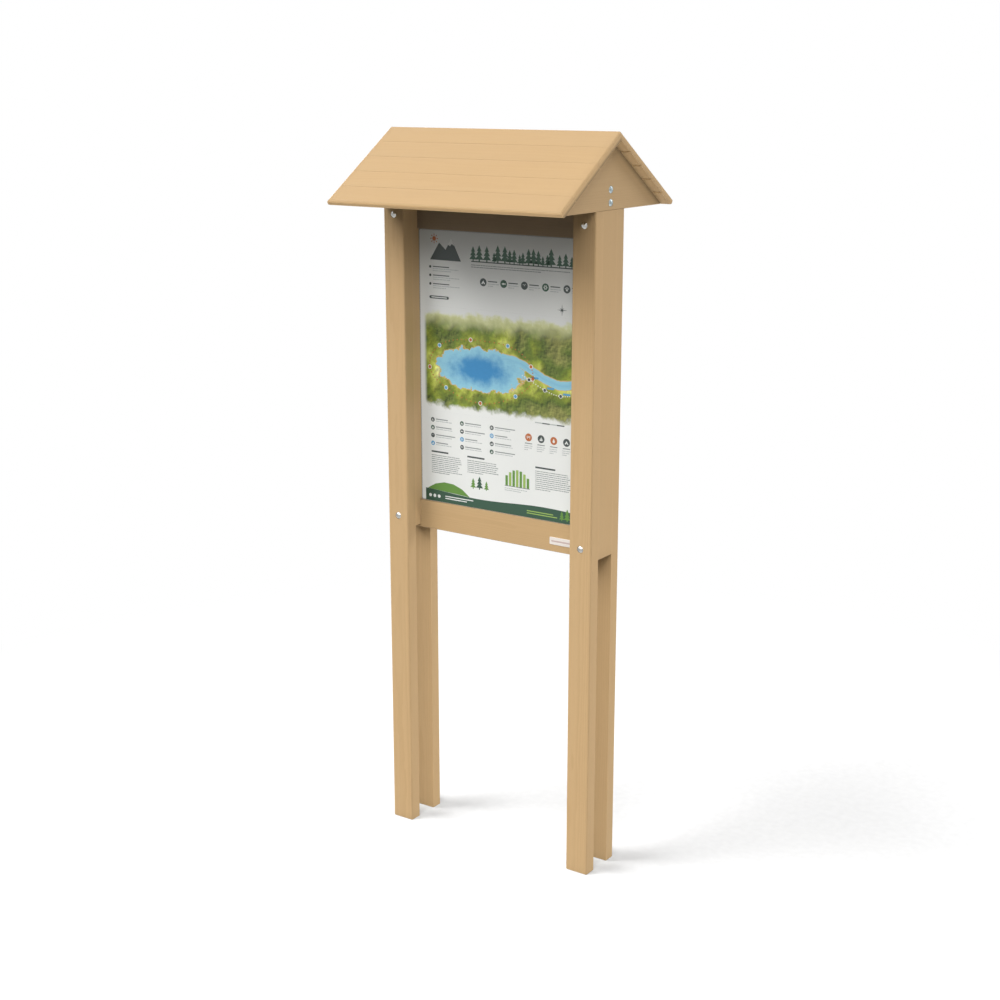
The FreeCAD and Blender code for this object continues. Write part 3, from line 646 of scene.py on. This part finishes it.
def fish():
    """Fish that swims to the left."""
    body = [(-0.15 + 0.72 * x, 0.38 * y) for x, y in disc(0, 0, 1)]
    return [body, [(0.45, 0.0), (0.95, 0.4), (0.95, -0.4)]]


def gull():
    """Bird with two raised wings."""
    steps = [step / 10 for step in range(-10, 11)]
    upper = [(x, 0.55 * math.sin(math.pi * abs(x) ** 0.8)) for x in steps]
    lower = [(x, y - 0.26 * (1 - abs(x))) for x, y in upper[1:-1]]
    return [lower + upper[::-1]]


def flower():
    """Six petals round an open middle."""
    return [disc(*arc(0, 0, 0.62, 60 * petal, 60 * petal + 1)[0], 0.27) for petal in range(6)]


def boat():
    """Sailing boat."""
    hull = [(-0.5, -0.75), (0.5, -0.75), (0.85, -0.35), (-0.85, -0.35)]
    return [hull, [(0.06, -0.25), (0.7, -0.25), (0.06, 0.9)], [(-0.06, -0.25), (-0.06, 0.6), (-0.5, -0.25)]]


def drop():
    """Drop of water."""
    return [arc(0, -0.3, 0.58, 150, 390) + [(0.0, 0.95)]]


def bench():
    """Bench from the front."""
    return [block(-0.9, -0.1, 1.8, 0.2), block(-0.9, 0.3, 1.8, 0.2), block(-0.7, -0.7, 0.18, 0.6),
            block(0.52, -0.7, 0.18, 0.6)]


def sun():
    """Sun with eight rays."""
    rays = [placed([block(0.62, -0.08, 0.34, 0.16)], 0, 0, 1, 45 * number)[0] for number in range(8)]
    return [disc(0, 0, 0.46)] + rays


def paw():
    """Animal's footprint."""
    toes = [arc(0, -0.3, 0.85, angle, angle + 1)[0] for angle in (35, 72, 108, 145)]
    return [disc(0, -0.35, 0.45)] + [disc(*toe, 0.2) for toe in toes]


def peaks():
    """Two peaks side by side."""
    return [[(-1.0, -0.55), (1.0, -0.55), (0.38, 0.62), (0.02, 0.0), (-0.4, 0.36)]]


def compass():
    """Compass star with four long points and four short ones."""
    points = []
    for number in range(16):
        reach = 1.0 if number % 4 == 0 else 0.52 if number % 2 == 0 else 0.17
        points.append(arc(0, 0, reach, 22.5 * number, 22.5 * number + 1)[0])
    return [points]


class Sheet:
    """Collects the outlines of each ink and height, and turns them into thin closed pieces."""

    def __init__(self, corner):
        self.corner = corner
        self.layers = {}
        self.chance = random.Random(PRINT_SEED)

    def add(self, ink, level, *outlines):
        """Outlines in one ink, at a height counted in layers of print."""
        self.layers.setdefault((ink, level), []).extend(outlines)

    def words(self, left, low, width, lines, ink="grey"):
        """Paragraph of plain word bars."""
        for line in range(lines):
            short = lines > 1 and line == lines - 1
            reach = width * self.chance.uniform(*(LAST_LINE if short else FULL_LINE))
            place = 0.0
            while place < reach:
                length = min(self.chance.uniform(*WORD_LENGTHS), reach - place)
                if length > SHORTEST_WORD:
                    self.add(ink, 1, block(left + place, low - line * LINE_PITCH, length, WORD_HEIGHT))
                place += length + WORD_GAP

    def badge(self, across, up, radius, ink, picture, share=0.62):
        """Round badge with a white picture."""
        self.add(ink, 1, disc(across, up, radius))
        self.add("paper", 2, *placed(picture, across, up, radius * share))

    def build(self):
        """One piece for each ink and height."""
        for (ink, level), outlines in self.layers.items():
            rise = level * PRINT_LAYER
            add_printed(f"print_{ink}_{level}", outlines, self.corner, rise, ink_material(ink))


def add_printed(name, outlines, corner, rise, material):
    """A piece of thin closed plates from outlines in millimetres, at a rise off the corner's face."""
    points = [[corner.xz + Vector(point) * MM for point in outline] for outline in outlines]
    front = corner.y - rise * MM
    finish_piece(prisms(name, points, front, front + PRINT_THICKNESS * MM), material)


def prisms(name, outlines, front, back):
    """A mesh of closed plates that face the front, from outlines seen from the front."""
    build = bmesh.new()
    for outline in outlines:
        near = [build.verts.new((x, front, z)) for x, z in outline]
        far = [build.verts.new((x, back, z)) for x, z in outline]
        build.faces.new(near)
        build.faces.new(far[::-1])
        for index, corner in enumerate(near):
            before = index - 1
            build.faces.new((near[before], far[before], far[index], corner))
    bmesh.ops.recalc_face_normals(build, faces=build.faces[:])
    return piece_from(build, name)


def piece_from(build, name):
    """An object in the scene from a finished mesh build."""
    mesh = bpy.data.meshes.new(name)
    build.to_mesh(mesh)
    build.free()
    piece = bpy.data.objects.new(name, mesh)
    bpy.context.scene.collection.objects.link(piece)
    return piece


def finish_piece(piece, material):
    """Give a piece its material and tie it to the sign."""
    piece.data.materials.append(material)
    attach(piece, ROOT)


def ink_material(ink):
    """Matt ink with a faint print grain."""
    name = f"ink_{ink}"
    if name in bpy.data.materials:
        return bpy.data.materials[name]
    material, graph = new_material(name)
    place = own_place(graph)
    grain = graph.noise(place, scale=900.0)
    cloud = graph.noise(place, scale=30.0)
    shade = graph.product(graph.swing(grain, change=0.14), graph.swing(cloud, change=0.08))
    return finish_material(material, graph, {
        "Base Color": graph.scale(INKS[ink][:3], shade),
        "Roughness": graph.between(cloud, low=0.42, high=0.54),
    })


def roof_shade_tone(graph, place):
    """Tone of the print, with painted shade under the roof."""
    return graph.between(roof_shade_share(graph, place), low=1.0, high=0.83)


SHEET_GRAIN_RELIEF = 0.02


def panel_material():
    """White laminated sheet, with painted shade along its frame and under the roof."""
    material, graph = new_material("laminated_sheet")
    place = own_place(graph)
    grain = graph.noise(place, scale=700.0)
    cloud = graph.noise(place, scale=6.0, detail=3.0)
    ripple = graph.noise(place, scale=9.0, detail=1.0)
    openness = open_share(graph, reach=0.006)
    # Painted shade along the frame, from an ambient occlusion node, and painted shade under the roof
    shade = graph.product(
        graph.swing(grain, change=0.03), graph.swing(cloud, change=0.05), roof_shade_tone(graph, place),
        graph.span(openness, low=0.5, high=0.9, start=0.3),
    )
    height = graph.total(ripple, (grain, SHEET_GRAIN_RELIEF))
    return finish_material(material, graph, {
        "Base Color": graph.scale(PAPER[:3], shade),
        "Roughness": graph.between(cloud, low=0.34, high=0.48),
        "Normal": graph.bump(height, strength=0.15, distance=0.002),
    })


# The map in millimetres on the panel: its edges, its lake's middle and reach, and its river's rise over that
# middle, swing, wave, reach to each bank and how softly the banks rise
MAP_LOW = 292
MAP_HIGH = 618
MAP_SIDE = PRINT_MARGIN - 2
LAKE = (228, 436)
LAKE_REACH = (158, 66)
RIVER_RISE = 12
RIVER_SWING = 30
RIVER_WAVE = 62
RIVER_REACH = 13
BANK_SLOPE = 4
DRY_LIFT = 2.0
RIVER_WARP = 16.0

# The map's land: relief of its hills, woods and tree crowns, and its colours from the shore up
HILLS = {"scale": 0.011, "detail": 5.0, "roughness": 0.58}
HILL_LIGHT = (4.0, 0.0, -4.0)
HILL_TONE = 9.0
LAND_RISE = 1.15
SHORE_RISE = 0.16
LAND_TONE = 1.22
CROWN_TONE = -0.55
LAND_COLOURS = (
    (0.38, srgb(218, 218, 146)), (0.50, srgb(182, 188, 88)), (0.62, srgb(138, 150, 54)),
    (0.74, srgb(90, 110, 40)), (0.90, srgb(136, 138, 76)),
)
SAND = srgb(216, 180, 118)

# The map's water and haze
SHALLOW_WATER = srgb(150, 205, 224)
DEEP_WATER = srgb(64, 138, 190)
HAZE = srgb(222, 224, 168)


def river_height(across):
    """Height of the river's middle line on the panel."""
    return LAKE[1] + RIVER_RISE + RIVER_SWING * math.sin((across - LAKE[0]) / RIVER_WAVE)


def shore_distance(graph, place):
    """Distance from the water, below 0 in the lake and in the river that leaves it to the right."""
    across, _, up = graph.split(place)
    warp = graph.between(graph.noise(place, scale=0.03, detail=4.0, roughness=0.6), low=-0.45, high=0.45)
    wide = graph.math("DIVIDE", graph.minus(across, LAKE[0]), LAKE_REACH[0])
    high = graph.math("DIVIDE", graph.minus(up, LAKE[1]), LAKE_REACH[1])
    reach = graph.math("SQRT", graph.total(0.0, (wide, wide), (high, high)))
    shore = graph.minus(graph.math("ADD", reach, warp), 1.0)

    swing = graph.math("SINE", graph.math("DIVIDE", graph.minus(across, LAKE[0]), RIVER_WAVE))
    line = graph.total(LAKE[1] + RIVER_RISE, (swing, RIVER_SWING), (warp, RIVER_WARP))
    offset = graph.math("ABSOLUTE", graph.minus(up, line))
    bank = graph.math("DIVIDE", offset, RIVER_REACH * BANK_SLOPE)
    bank = graph.minus(bank, 1 / BANK_SLOPE)
    bank = graph.total(bank, (graph.math("LESS_THAN", across, LAKE[0]), DRY_LIFT))
    return graph.math("MINIMUM", shore, bank)


def land_colour(graph, place, water, crowns):
    """Meadows, woods and bare tops, lit from one side, with a sandy shore."""
    land = graph.noise(place, **HILLS)
    lit = graph.noise(graph.vector("ADD", place, HILL_LIGHT), **HILLS)
    slope = graph.minus(land, lit)
    rise = graph.total(0.0, (land, LAND_RISE), (water, SHORE_RISE))
    wooded = graph.product(crowns, graph.span(rise, low=0.5, high=0.62))
    tone = graph.total(LAND_TONE, (wooded, CROWN_TONE), (slope, HILL_TONE))
    ground = graph.scale(graph.ramp(rise, LAND_COLOURS), tone)
    return graph.mix(graph.span(water, low=0.09, high=0.0), ground, SAND)


def water_colour(graph, place, water):
    """Rippled water that gets deeper away from the shore."""
    colour = graph.mix(graph.span(water, low=-0.05, high=-0.7), SHALLOW_WATER, DEEP_WATER)
    ripple = graph.noise(place, scale=(0.05, 0.05, 0.4))
    return graph.scale(colour, graph.swing(ripple, change=0.16))


def faded_map(graph, place, colour):
    """The map's colour, hazy towards its top, which fades into the white sheet at its ragged edges."""
    across, _, up = graph.split(place)
    side = graph.math("MINIMUM", across, graph.minus(PANEL_WIDTH, across))
    top = graph.minus(MAP_HIGH, up)
    low = graph.minus(up, MAP_LOW)
    ragged = graph.between(graph.noise(place, scale=0.022, detail=4.0, roughness=0.6), low=-42.0, high=28.0)
    ends = graph.span(graph.math("ADD", graph.math("MINIMUM", top, low), ragged), low=4.0, high=24.0)
    sides = graph.span(side, low=PRINT_MARGIN - 2.0, high=PRINT_MARGIN + 12.0)
    inside = graph.product(ends, sides)
    haze = graph.span(graph.math("ADD", top, ragged), low=70.0, high=10.0)
    return graph.mix(inside, PAPER, graph.mix(haze, colour, HAZE))


def map_material(corner):
    """Relief map: wooded hills round a lake, with a river that leaves it to the right."""
    material, graph = new_material("relief_map")
    sign_place = own_place(graph)
    place = graph.scale(graph.vector("SUBTRACT", sign_place, corner), 1 / MM)
    water = shore_distance(graph, place)
    crowns = graph.noise(place, scale=0.42, roughness=0.7)
    dry = graph.math("GREATER_THAN", water, 0.0)
    colour = graph.mix(dry, water_colour(graph, place, water), land_colour(graph, place, water, crowns))
    # The map's colour carries the painted shade under the roof
    return finish_material(material, graph, {
        "Base Color": graph.scale(faded_map(graph, place, colour), roof_shade_tone(graph, sign_place)),
        "Roughness": graph.between(crowns, low=0.36, high=0.48),
    })


# Header: its pictures, the line under its trees, its words' height, and the trees' heights and spacing
HEADER_PEAKS = (100, 790, 58)
HEADER_SUN = (58, 822, 15)
HEADER_SNOW = ((122, 826), (133, 804), (124, 809), (118, 802), (110, 806))
HEADER_LINE = (196, 760, 366, 3.2)
HEADER_WORDS = 750
TREE_RANGE = (203.0, 556.0)
TREE_HEIGHTS = (15.0, 27.0)
TREE_SPACING = (0.62, 1.15)


def draw_header(sheet):
    """Peaks with a sun at the left and a line of conifers over two lines of word bars."""
    sheet.add("slate", 1, *placed(peaks(), *HEADER_PEAKS))
    sheet.add("clay", 1, *placed(sun(), *HEADER_SUN))
    sheet.add("paper", 2, HEADER_SNOW)
    sheet.add("slate", 1, block(*HEADER_LINE))
    left, ground, width, _ = HEADER_LINE
    place, last = TREE_RANGE
    while place < last:
        height = sheet.chance.uniform(*TREE_HEIGHTS)
        sheet.add("pine", 1, *placed(spruce(), place, ground + 2 + height, height))
        place += height * sheet.chance.uniform(*TREE_SPACING)
    sheet.words(left, HEADER_WORDS, width, 2)


# Notes: badges in a row, whose captions have an inset, a heading and a width, notes in a column, with a left
# edge, a heading and a width, and a striped tab
BADGE_START = (240, 702)
BADGE_PITCH = 74
BADGE_RADIUS = 12
BADGE_CAPTION = (17, 34, 40)
NOTE_MARK = (42, 737, 4.2)
NOTE_PITCH = 26
NOTE_TEXT = (52, 62, 110)
NOTE_TAB = (38, 640, 74, 9)
NOTE_TAB_STRIPE = (46, 643.2, 58, 2.6)


def draw_notes(sheet):
    """Round badges in a row with captions, beside a column of short notes."""
    badges = (("slate", tent()), ("pine", fish()), ("slate", gull()), ("pine", flower()), ("slate", paw()))
    inset, heading, width = BADGE_CAPTION
    for number, (ink, picture) in enumerate(badges):
        across, up = BADGE_START[0] + BADGE_PITCH * number, BADGE_START[1]
        sheet.badge(across, up, BADGE_RADIUS, ink, picture)
        sheet.add("slate", 1, pill(across + inset, up + 2, heading, 3))
        sheet.words(across + inset, up - 5, width, 2, "mist")
    across, start, radius = NOTE_MARK
    left, heading, width = NOTE_TEXT
    for row in range(3):
        up = start - NOTE_PITCH * row
        sheet.add("slate", 1, disc(across, up, radius))
        sheet.add("slate", 1, block(left, up - 1, heading, 2.8))
        sheet.words(left, up - 7, width, 2, "mist")
    sheet.add("slate", 1, pill(*NOTE_TAB))
    sheet.add("paper", 2, block(*NOTE_TAB_STRIPE))


# Trail: dots round the lake with their way from the water, its sway and stops, then a branch below the
# river, whose stops have flags
TRAIL_DOTS = 68
TRAIL_CLEARANCE = (34, 30)
TRAIL_SWAY = 7
TRAIL_STOP_PITCH = 8
TRAIL_STOP_RADII = (7.0, 5.2)
BRANCH_DOTS = 24
BRANCH_START = 382
BRANCH_PITCH = 8
BRANCH_DROP = 32
BRANCH_STOP_PITCH = 7
BRANCH_STOP_RADII = (6.4, 4.8)
BRANCH_FLAG = (8, 4, 26, 6)
FIRST_STOP = 3


def add_stop(sheet, across, up, radii, ink):
    """Round stop with a white rim."""
    rim, middle = radii
    sheet.add("paper", 3, disc(across, up, rim))
    sheet.add(ink, 4, disc(across, up, middle))


def draw_trail(sheet):
    """Dotted trail round the lake and along the river, with plain round stops."""
    for number in range(TRAIL_DOTS):
        angle = 2 * math.pi * number / TRAIL_DOTS
        width = LAKE_REACH[0] + TRAIL_CLEARANCE[0]
        height = LAKE_REACH[1] + TRAIL_CLEARANCE[1] + TRAIL_SWAY * math.sin(3 * angle)
        across, up = LAKE[0] + width * math.cos(angle), LAKE[1] + height * math.sin(angle)
        sheet.add("clay", 2, disc(across, up, radius=2.0))
        stop, past_stop = divmod(number - FIRST_STOP, TRAIL_STOP_PITCH)
        if past_stop == 0:
            add_stop(sheet, across, up, TRAIL_STOP_RADII, "water" if stop % 2 else "clay")
    flag_across, flag_up, *flag_size = BRANCH_FLAG
    for number in range(BRANCH_DOTS):
        across = BRANCH_START + BRANCH_PITCH * number
        up = river_height(across) - BRANCH_DROP
        sheet.add("paper", 2, disc(across, up, radius=1.7))
        if number % BRANCH_STOP_PITCH == FIRST_STOP:
            add_stop(sheet, across, up, BRANCH_STOP_RADII, "slate")
            sheet.add("water", 3, pill(across + flag_across, up + flag_up, *flag_size))


# Key: the map's compass and scale bar, rows of small badges with words, and a row of larger ones
KEY_COMPASS = (520, 640, 17)
SCALE_BAR = (428, 296, 26, 3.4)
SCALE_STEPS = 4
KEY_START = (40, 262)
KEY_PITCH = (112, 25)
KEY_ROWS = 4
KEY_RADIUS = 7.2
KEY_INDENT = 18
KEY_HEADINGS = (46, 60, 74)
KEY_WIDTH = 66
RULES_START = (388, 249)
RULES_PITCH = 45
RULES_HEADING = (26, 2.6)
RULES_WIDTH = 30


def draw_key(sheet):
    """Compass star and scale bar of the map, and the rows of its key."""
    sheet.add("slate", 2, *placed(compass(), *KEY_COMPASS))
    left, low, width, height = SCALE_BAR
    for number in range(SCALE_STEPS):
        ink = "slate" if number % 2 else "mist"
        sheet.add(ink, 2, block(left + width * number, low, width, height))
    pictures = (spruce(), drop(), gull(), boat(), tent(), fish(),
                paw(), bench(), sun(), flower(), peaks(), boat())
    colours = ("slate", "pine", "slate", "water")
    for number, picture in enumerate(pictures):
        column, row = divmod(number, KEY_ROWS)
        left, low = KEY_START[0] + KEY_PITCH[0] * column, KEY_START[1] - KEY_PITCH[1] * row
        ink = colours[(column + row) % len(colours)]
        heading = KEY_HEADINGS[(row + column) % len(KEY_HEADINGS)]
        sheet.badge(left + 6, low, KEY_RADIUS, ink, picture, share=0.66)
        sheet.add("grey", 1, block(left + KEY_INDENT, low + 1, heading, 2.8))
        sheet.words(left + KEY_INDENT, low - 5, KEY_WIDTH, 1, "mist")
    for number, picture in enumerate((bench(), boat(), drop(), tent())):
        left, up = RULES_START[0] + RULES_PITCH * number, RULES_START[1]
        sheet.badge(left + 17, up, BADGE_RADIUS, "slate" if number % 2 else "clay", picture)
        sheet.add("grey", 1, block(left + 4, up - 20, *RULES_HEADING))
        sheet.words(left + 2, up - 27, RULES_WIDTH, 3, "mist")


# Texts: left edge, width and lines of each block, a few trees, and a bar chart on its line: the first bar's
# place, then the bars' width, pitch, least height and swell
TEXT_BLOCKS = ((40, 118, 10), (178, 118, 7), (430, 130, 10))
TEXT_TOP = 148
HEADING_SHARE = 0.55
TEXT_TREES = (("moss", 200, 78, 17), ("pine", 224, 82, 21), ("moss", 250, 76, 15))
CHART_LINE = (318, 88, 92, 1.6)
CHART_BARS = 7
CHART_START = (321, 90)
CHART_BAR_WIDTH = 9
CHART_PITCH = 13
CHART_LEAST = 18
CHART_SWELL = 34


def draw_texts(sheet):
    """Blocks of word bars under short dark headings, and a small bar chart."""
    for left, width, lines in TEXT_BLOCKS:
        sheet.add("slate", 1, block(left, TEXT_TOP + 10, width * HEADING_SHARE, height=5))
        sheet.words(left, TEXT_TOP, width, lines)
    for ink, *place in TEXT_TREES:
        sheet.add(ink, 1, *placed(spruce(), *place))
    sheet.add("slate", 1, block(*CHART_LINE))
    for number in range(CHART_BARS):
        height = CHART_LEAST + CHART_SWELL * math.sin(math.pi * (number + 1) / (CHART_BARS + 1))
        left = CHART_START[0] + CHART_PITCH * number
        bar = block(left, CHART_START[1], CHART_BAR_WIDTH, height)
        sheet.add("meadow" if number % 2 else "moss", 1, bar)
    left, low, width, _ = CHART_LINE
    sheet.words(left, low - 8, width, 2, "mist")


# Footer: height, sway and wave of its dark hills, the paler hill's arc, a row of dots, bars and trees
FOOTER_STEPS = 48
FOOTER_LOW = 1
FOOTER_RIDGE = (35, 5, 6.5)
FOOTER_HILL = (100, -58, 124, 46, 128)
FOOTER_DOTS = (34, 51, 68)
FOOTER_DOT = (18, 5.5)
FOOTER_BARS = {"paper": ((92, 20, 108), (92, 13, 84)), "meadow": ((400, 20, 96), (400, 13, 110))}
FOOTER_TREES = ((526, 15), (545, 19), (566, 16))
FOOTER_GROUND = 8


def draw_footer(sheet):
    """Band of dark hills along the bottom with a paler hill behind it, inside a white margin."""
    right = PANEL_WIDTH - PRINT_MARGIN
    steps = range(FOOTER_STEPS + 1)
    places = [right - (right - PRINT_MARGIN) * step / FOOTER_STEPS for step in steps]
    height, sway, wave = FOOTER_RIDGE
    ridge = [(place, height + sway * math.sin(step / wave)) for step, place in enumerate(places)]
    sheet.add("pine", 2, [(PRINT_MARGIN, FOOTER_LOW), (right, FOOTER_LOW)] + ridge)
    sheet.add("moss", 1, arc(*FOOTER_HILL))
    for across in FOOTER_DOTS:
        sheet.add("paper", 3, disc(across, *FOOTER_DOT))
    for ink, bars in FOOTER_BARS.items():
        sheet.add(ink, 3, *(pill(*bar, height=3) for bar in bars))
    for place, height in FOOTER_TREES:
        sheet.add("moss", 3, *placed(spruce(), place, FOOTER_GROUND + height, height))


# The small bare plate on the bottom rail: its left and low edge from the opening's left and the rail's foot
LABEL_PLACE = (488, 22)
LABEL_SIZE = (95, 23)
LABEL_CORNER = 3
LABEL_THICKNESS = 1.2
LABEL_BEVEL = 0.5
LABEL_STRIPE = (6, 9, 5)


def rounded_plate(left, low, width, height, radius):
    """Outline of a plate with rounded corners."""
    right, top = left + width - radius, low + height - radius
    left, low = left + radius, low + radius
    return (arc(right, low, radius, -90, 0) + arc(right, top, radius, 0, 90)
            + arc(left, top, radius, 90, 180) + arc(left, low, radius, 180, 270))


ENAMEL = srgb(240, 232, 224)


def label_material():
    """Off-white enamel with a fine speckle and a rubbed sheen."""
    material, graph = new_material("label_enamel")
    place = own_place(graph)
    speckle = graph.noise(place, scale=1200.0)
    rubbed = graph.noise(place, scale=(60.0, 60.0, 180.0), detail=3.0, roughness=0.6)
    return finish_material(material, graph, {
        "Base Color": graph.scale(ENAMEL[:3], graph.between(speckle, low=0.96, high=1.02)),
        "Roughness": graph.between(rubbed, low=0.26, high=0.46),
    })


def plate_build(corner, rings):
    """Mesh build of a plate from its outlines in millimetres, each at a rise off the corner's face."""
    build = bmesh.new()
    loops = []
    for outline, rise in rings:
        points = [(corner.x + x * MM, corner.y - rise * MM, corner.z + z * MM) for x, z in outline]
        loops.append([build.verts.new(point) for point in points])
    build.faces.new(loops[0])
    build.faces.new(loops[-1])
    for inner, outer in zip(loops, loops[1:]):
        for index in range(len(inner)):
            build.faces.new((inner[index - 1], inner[index], outer[index], outer[index - 1]))
    bmesh.ops.recalc_face_normals(build, faces=build.faces[:])
    return build


def add_label():
    """Bare label plate with bevelled edges and one plain stripe, on the front of the bottom rail."""
    rail_low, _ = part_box("bottom_rail")
    corner = Vector((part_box("left_block")[1].x, rail_low.y, rail_low.z))
    left, low = LABEL_PLACE
    width, height = LABEL_SIZE
    inset = LABEL_BEVEL
    face_size = (width - 2 * inset, height - 2 * inset)
    rim = rounded_plate(left, low, width, height, LABEL_CORNER)
    face = rounded_plate(left + inset, low + inset, *face_size, LABEL_CORNER - inset)
    rings = ((rim, 0.0), (rim, LABEL_THICKNESS - inset), (face, LABEL_THICKNESS))
    finish_piece(piece_from(plate_build(corner, rings), "label_plate"), label_material())
    inset, rise, high = LABEL_STRIPE
    stripe = pill(left + inset, low + rise, width - 2 * inset, high)
    add_printed("label_stripe", [stripe], corner, LABEL_THICKNESS + PRINT_LAYER, ink_material("rose"))


def add_print():
    """The whole print: a relief map and the flat pieces of every ink."""
    dress("graphic_panel", panel_material())
    corner = corner_of_view()
    area = block(MAP_SIDE, MAP_LOW, PANEL_WIDTH - 2 * MAP_SIDE, MAP_HIGH - MAP_LOW)
    add_printed("print_map", [area], corner, PRINT_LAYER, map_material(corner))
    sheet = Sheet(corner)
    for draw in (draw_header, draw_notes, draw_trail, draw_key, draw_texts, draw_footer):
        draw(sheet)
    sheet.build()


# Stage

FLOOR_RADIUS = 30.0
FLOOR_TINTS = (0.86, 0.90)
FLOOR_BOUNCE = 0.06
WORLD_LIGHT = 0.05


def direct_ray(graph):
    """1 on rays that see the background directly, in a reflection or through glass."""
    path = graph.node("ShaderNodeLightPath").outputs
    seen = graph.math("MAXIMUM", path["Is Camera Ray"], path["Is Glossy Ray"])
    return graph.math("MAXIMUM", seen, path["Is Transmission Ray"])


def floor_material():
    """Pale floor near the sign that fades into white, and is dark for the light that it throws back."""
    material, graph = new_material("pale_floor")
    place = own_place(graph)
    far = graph.span(graph.length(place), low=1.2, high=2.8)
    grain = graph.noise(place, scale=40.0, detail=3.0)
    tint = graph.ramp(grain, [(part, grey(level)) for part, level in zip(NOISE_CORE, FLOOR_TINTS)])
    lit = graph.node("ShaderNodeBsdfDiffuse", {"Color": tint}).outputs[0]
    glow = graph.node("ShaderNodeEmission", {"Color": grey(1.0), "Strength": 1.0}).outputs[0]
    dark = graph.node("ShaderNodeBsdfDiffuse", {"Color": grey(FLOOR_BOUNCE)}).outputs[0]
    shown = graph.node("ShaderNodeMixShader", {0: far, 1: lit, 2: glow}).outputs[0]
    mixed = graph.node("ShaderNodeMixShader", {0: direct_ray(graph), 1: dark, 2: shown})
    graph.node("ShaderNodeOutputMaterial", {"Surface": mixed.outputs[0]})
    return material


def add_floor():
    """Pale floor that keeps the sign's shadow."""
    build = bmesh.new()
    bmesh.ops.create_circle(build, cap_ends=True, segments=96, radius=FLOOR_RADIUS)
    floor = piece_from(build, "floor")
    floor.data.materials.append(floor_material())
    floor.visible_shadow = False


def direction(heading, height):
    """Unit vector away from the sign, from a heading off the front and a height above level."""
    level = math.cos(height)
    return Vector((math.sin(heading) * level, -math.cos(heading) * level, math.sin(height)))


def add_world():
    """White surroundings that give the sign a part of its light."""
    world = bpy.data.worlds.new("white_surroundings")
    bpy.context.scene.world = world
    graph = cleared(world)
    strength = graph.span(direct_ray(graph), 0.0, 1.0, WORLD_LIGHT, 1.0)
    background = graph.node("ShaderNodeBackground", {"Color": grey(1.0), "Strength": strength})
    graph.node("ShaderNodeOutputWorld", {"Surface": background.outputs[0]})


# Soft lamps far away: heading from the front towards the right, height, both in degrees, and strength
LAMPS = {
    "key_lamp": (-45, 48, 2.9),
    "front_lamp": (15, 28, 0.7),
    "fill_lamp": (30, 40, 1.2),
    "left_lamp": (-120, 8, 2.1),
    "rear_lamp": (150, 28, 1.5),
    "low_lamp": (104, -54, 1.9),
}
LAMP_SPREAD = math.radians(38)
LAMP_DISTANCE = 6.0


def add_lights():
    """Key lamp high at the front left, two lower in front, one left, one behind and one from below."""
    for name, (heading, height, strength) in LAMPS.items():
        lamp = bpy.data.lights.new(name, "SUN")
        lamp.angle = LAMP_SPREAD
        lamp.energy = strength
        holder = bpy.data.objects.new(name, lamp)
        away = direction(math.radians(heading), math.radians(height))
        holder.location = CAMERA_TARGET + away * LAMP_DISTANCE
        holder.rotation_euler = (-away).to_track_quat("-Z", "Y").to_euler()
        bpy.context.scene.collection.objects.link(holder)


def add_camera():
    """Camera at the photograph's viewing angle."""
    data = bpy.data.cameras.new("camera")
    data.sensor_width = CAMERA_SENSOR
    data.lens = CAMERA_LENS
    data.shift_x, data.shift_y = CAMERA_SHIFT
    camera = bpy.data.objects.new("camera", data)
    away = direction(CAMERA_AZIMUTH, CAMERA_ELEVATION)
    camera.location = CAMERA_TARGET + away * CAMERA_DISTANCE
    aim = (-away).to_track_quat("-Z", "Y")
    camera.rotation_euler = (aim.to_matrix() @ Matrix.Rotation(CAMERA_ROLL, 3, "Z")).to_euler()
    bpy.context.scene.collection.objects.link(camera)
    bpy.context.scene.camera = camera


dress_timber()
dress_metal()
add_print()
add_label()
add_floor()
add_world()
add_lights()
add_camera()
bpy.context.scene.view_settings.view_transform = "Standard"
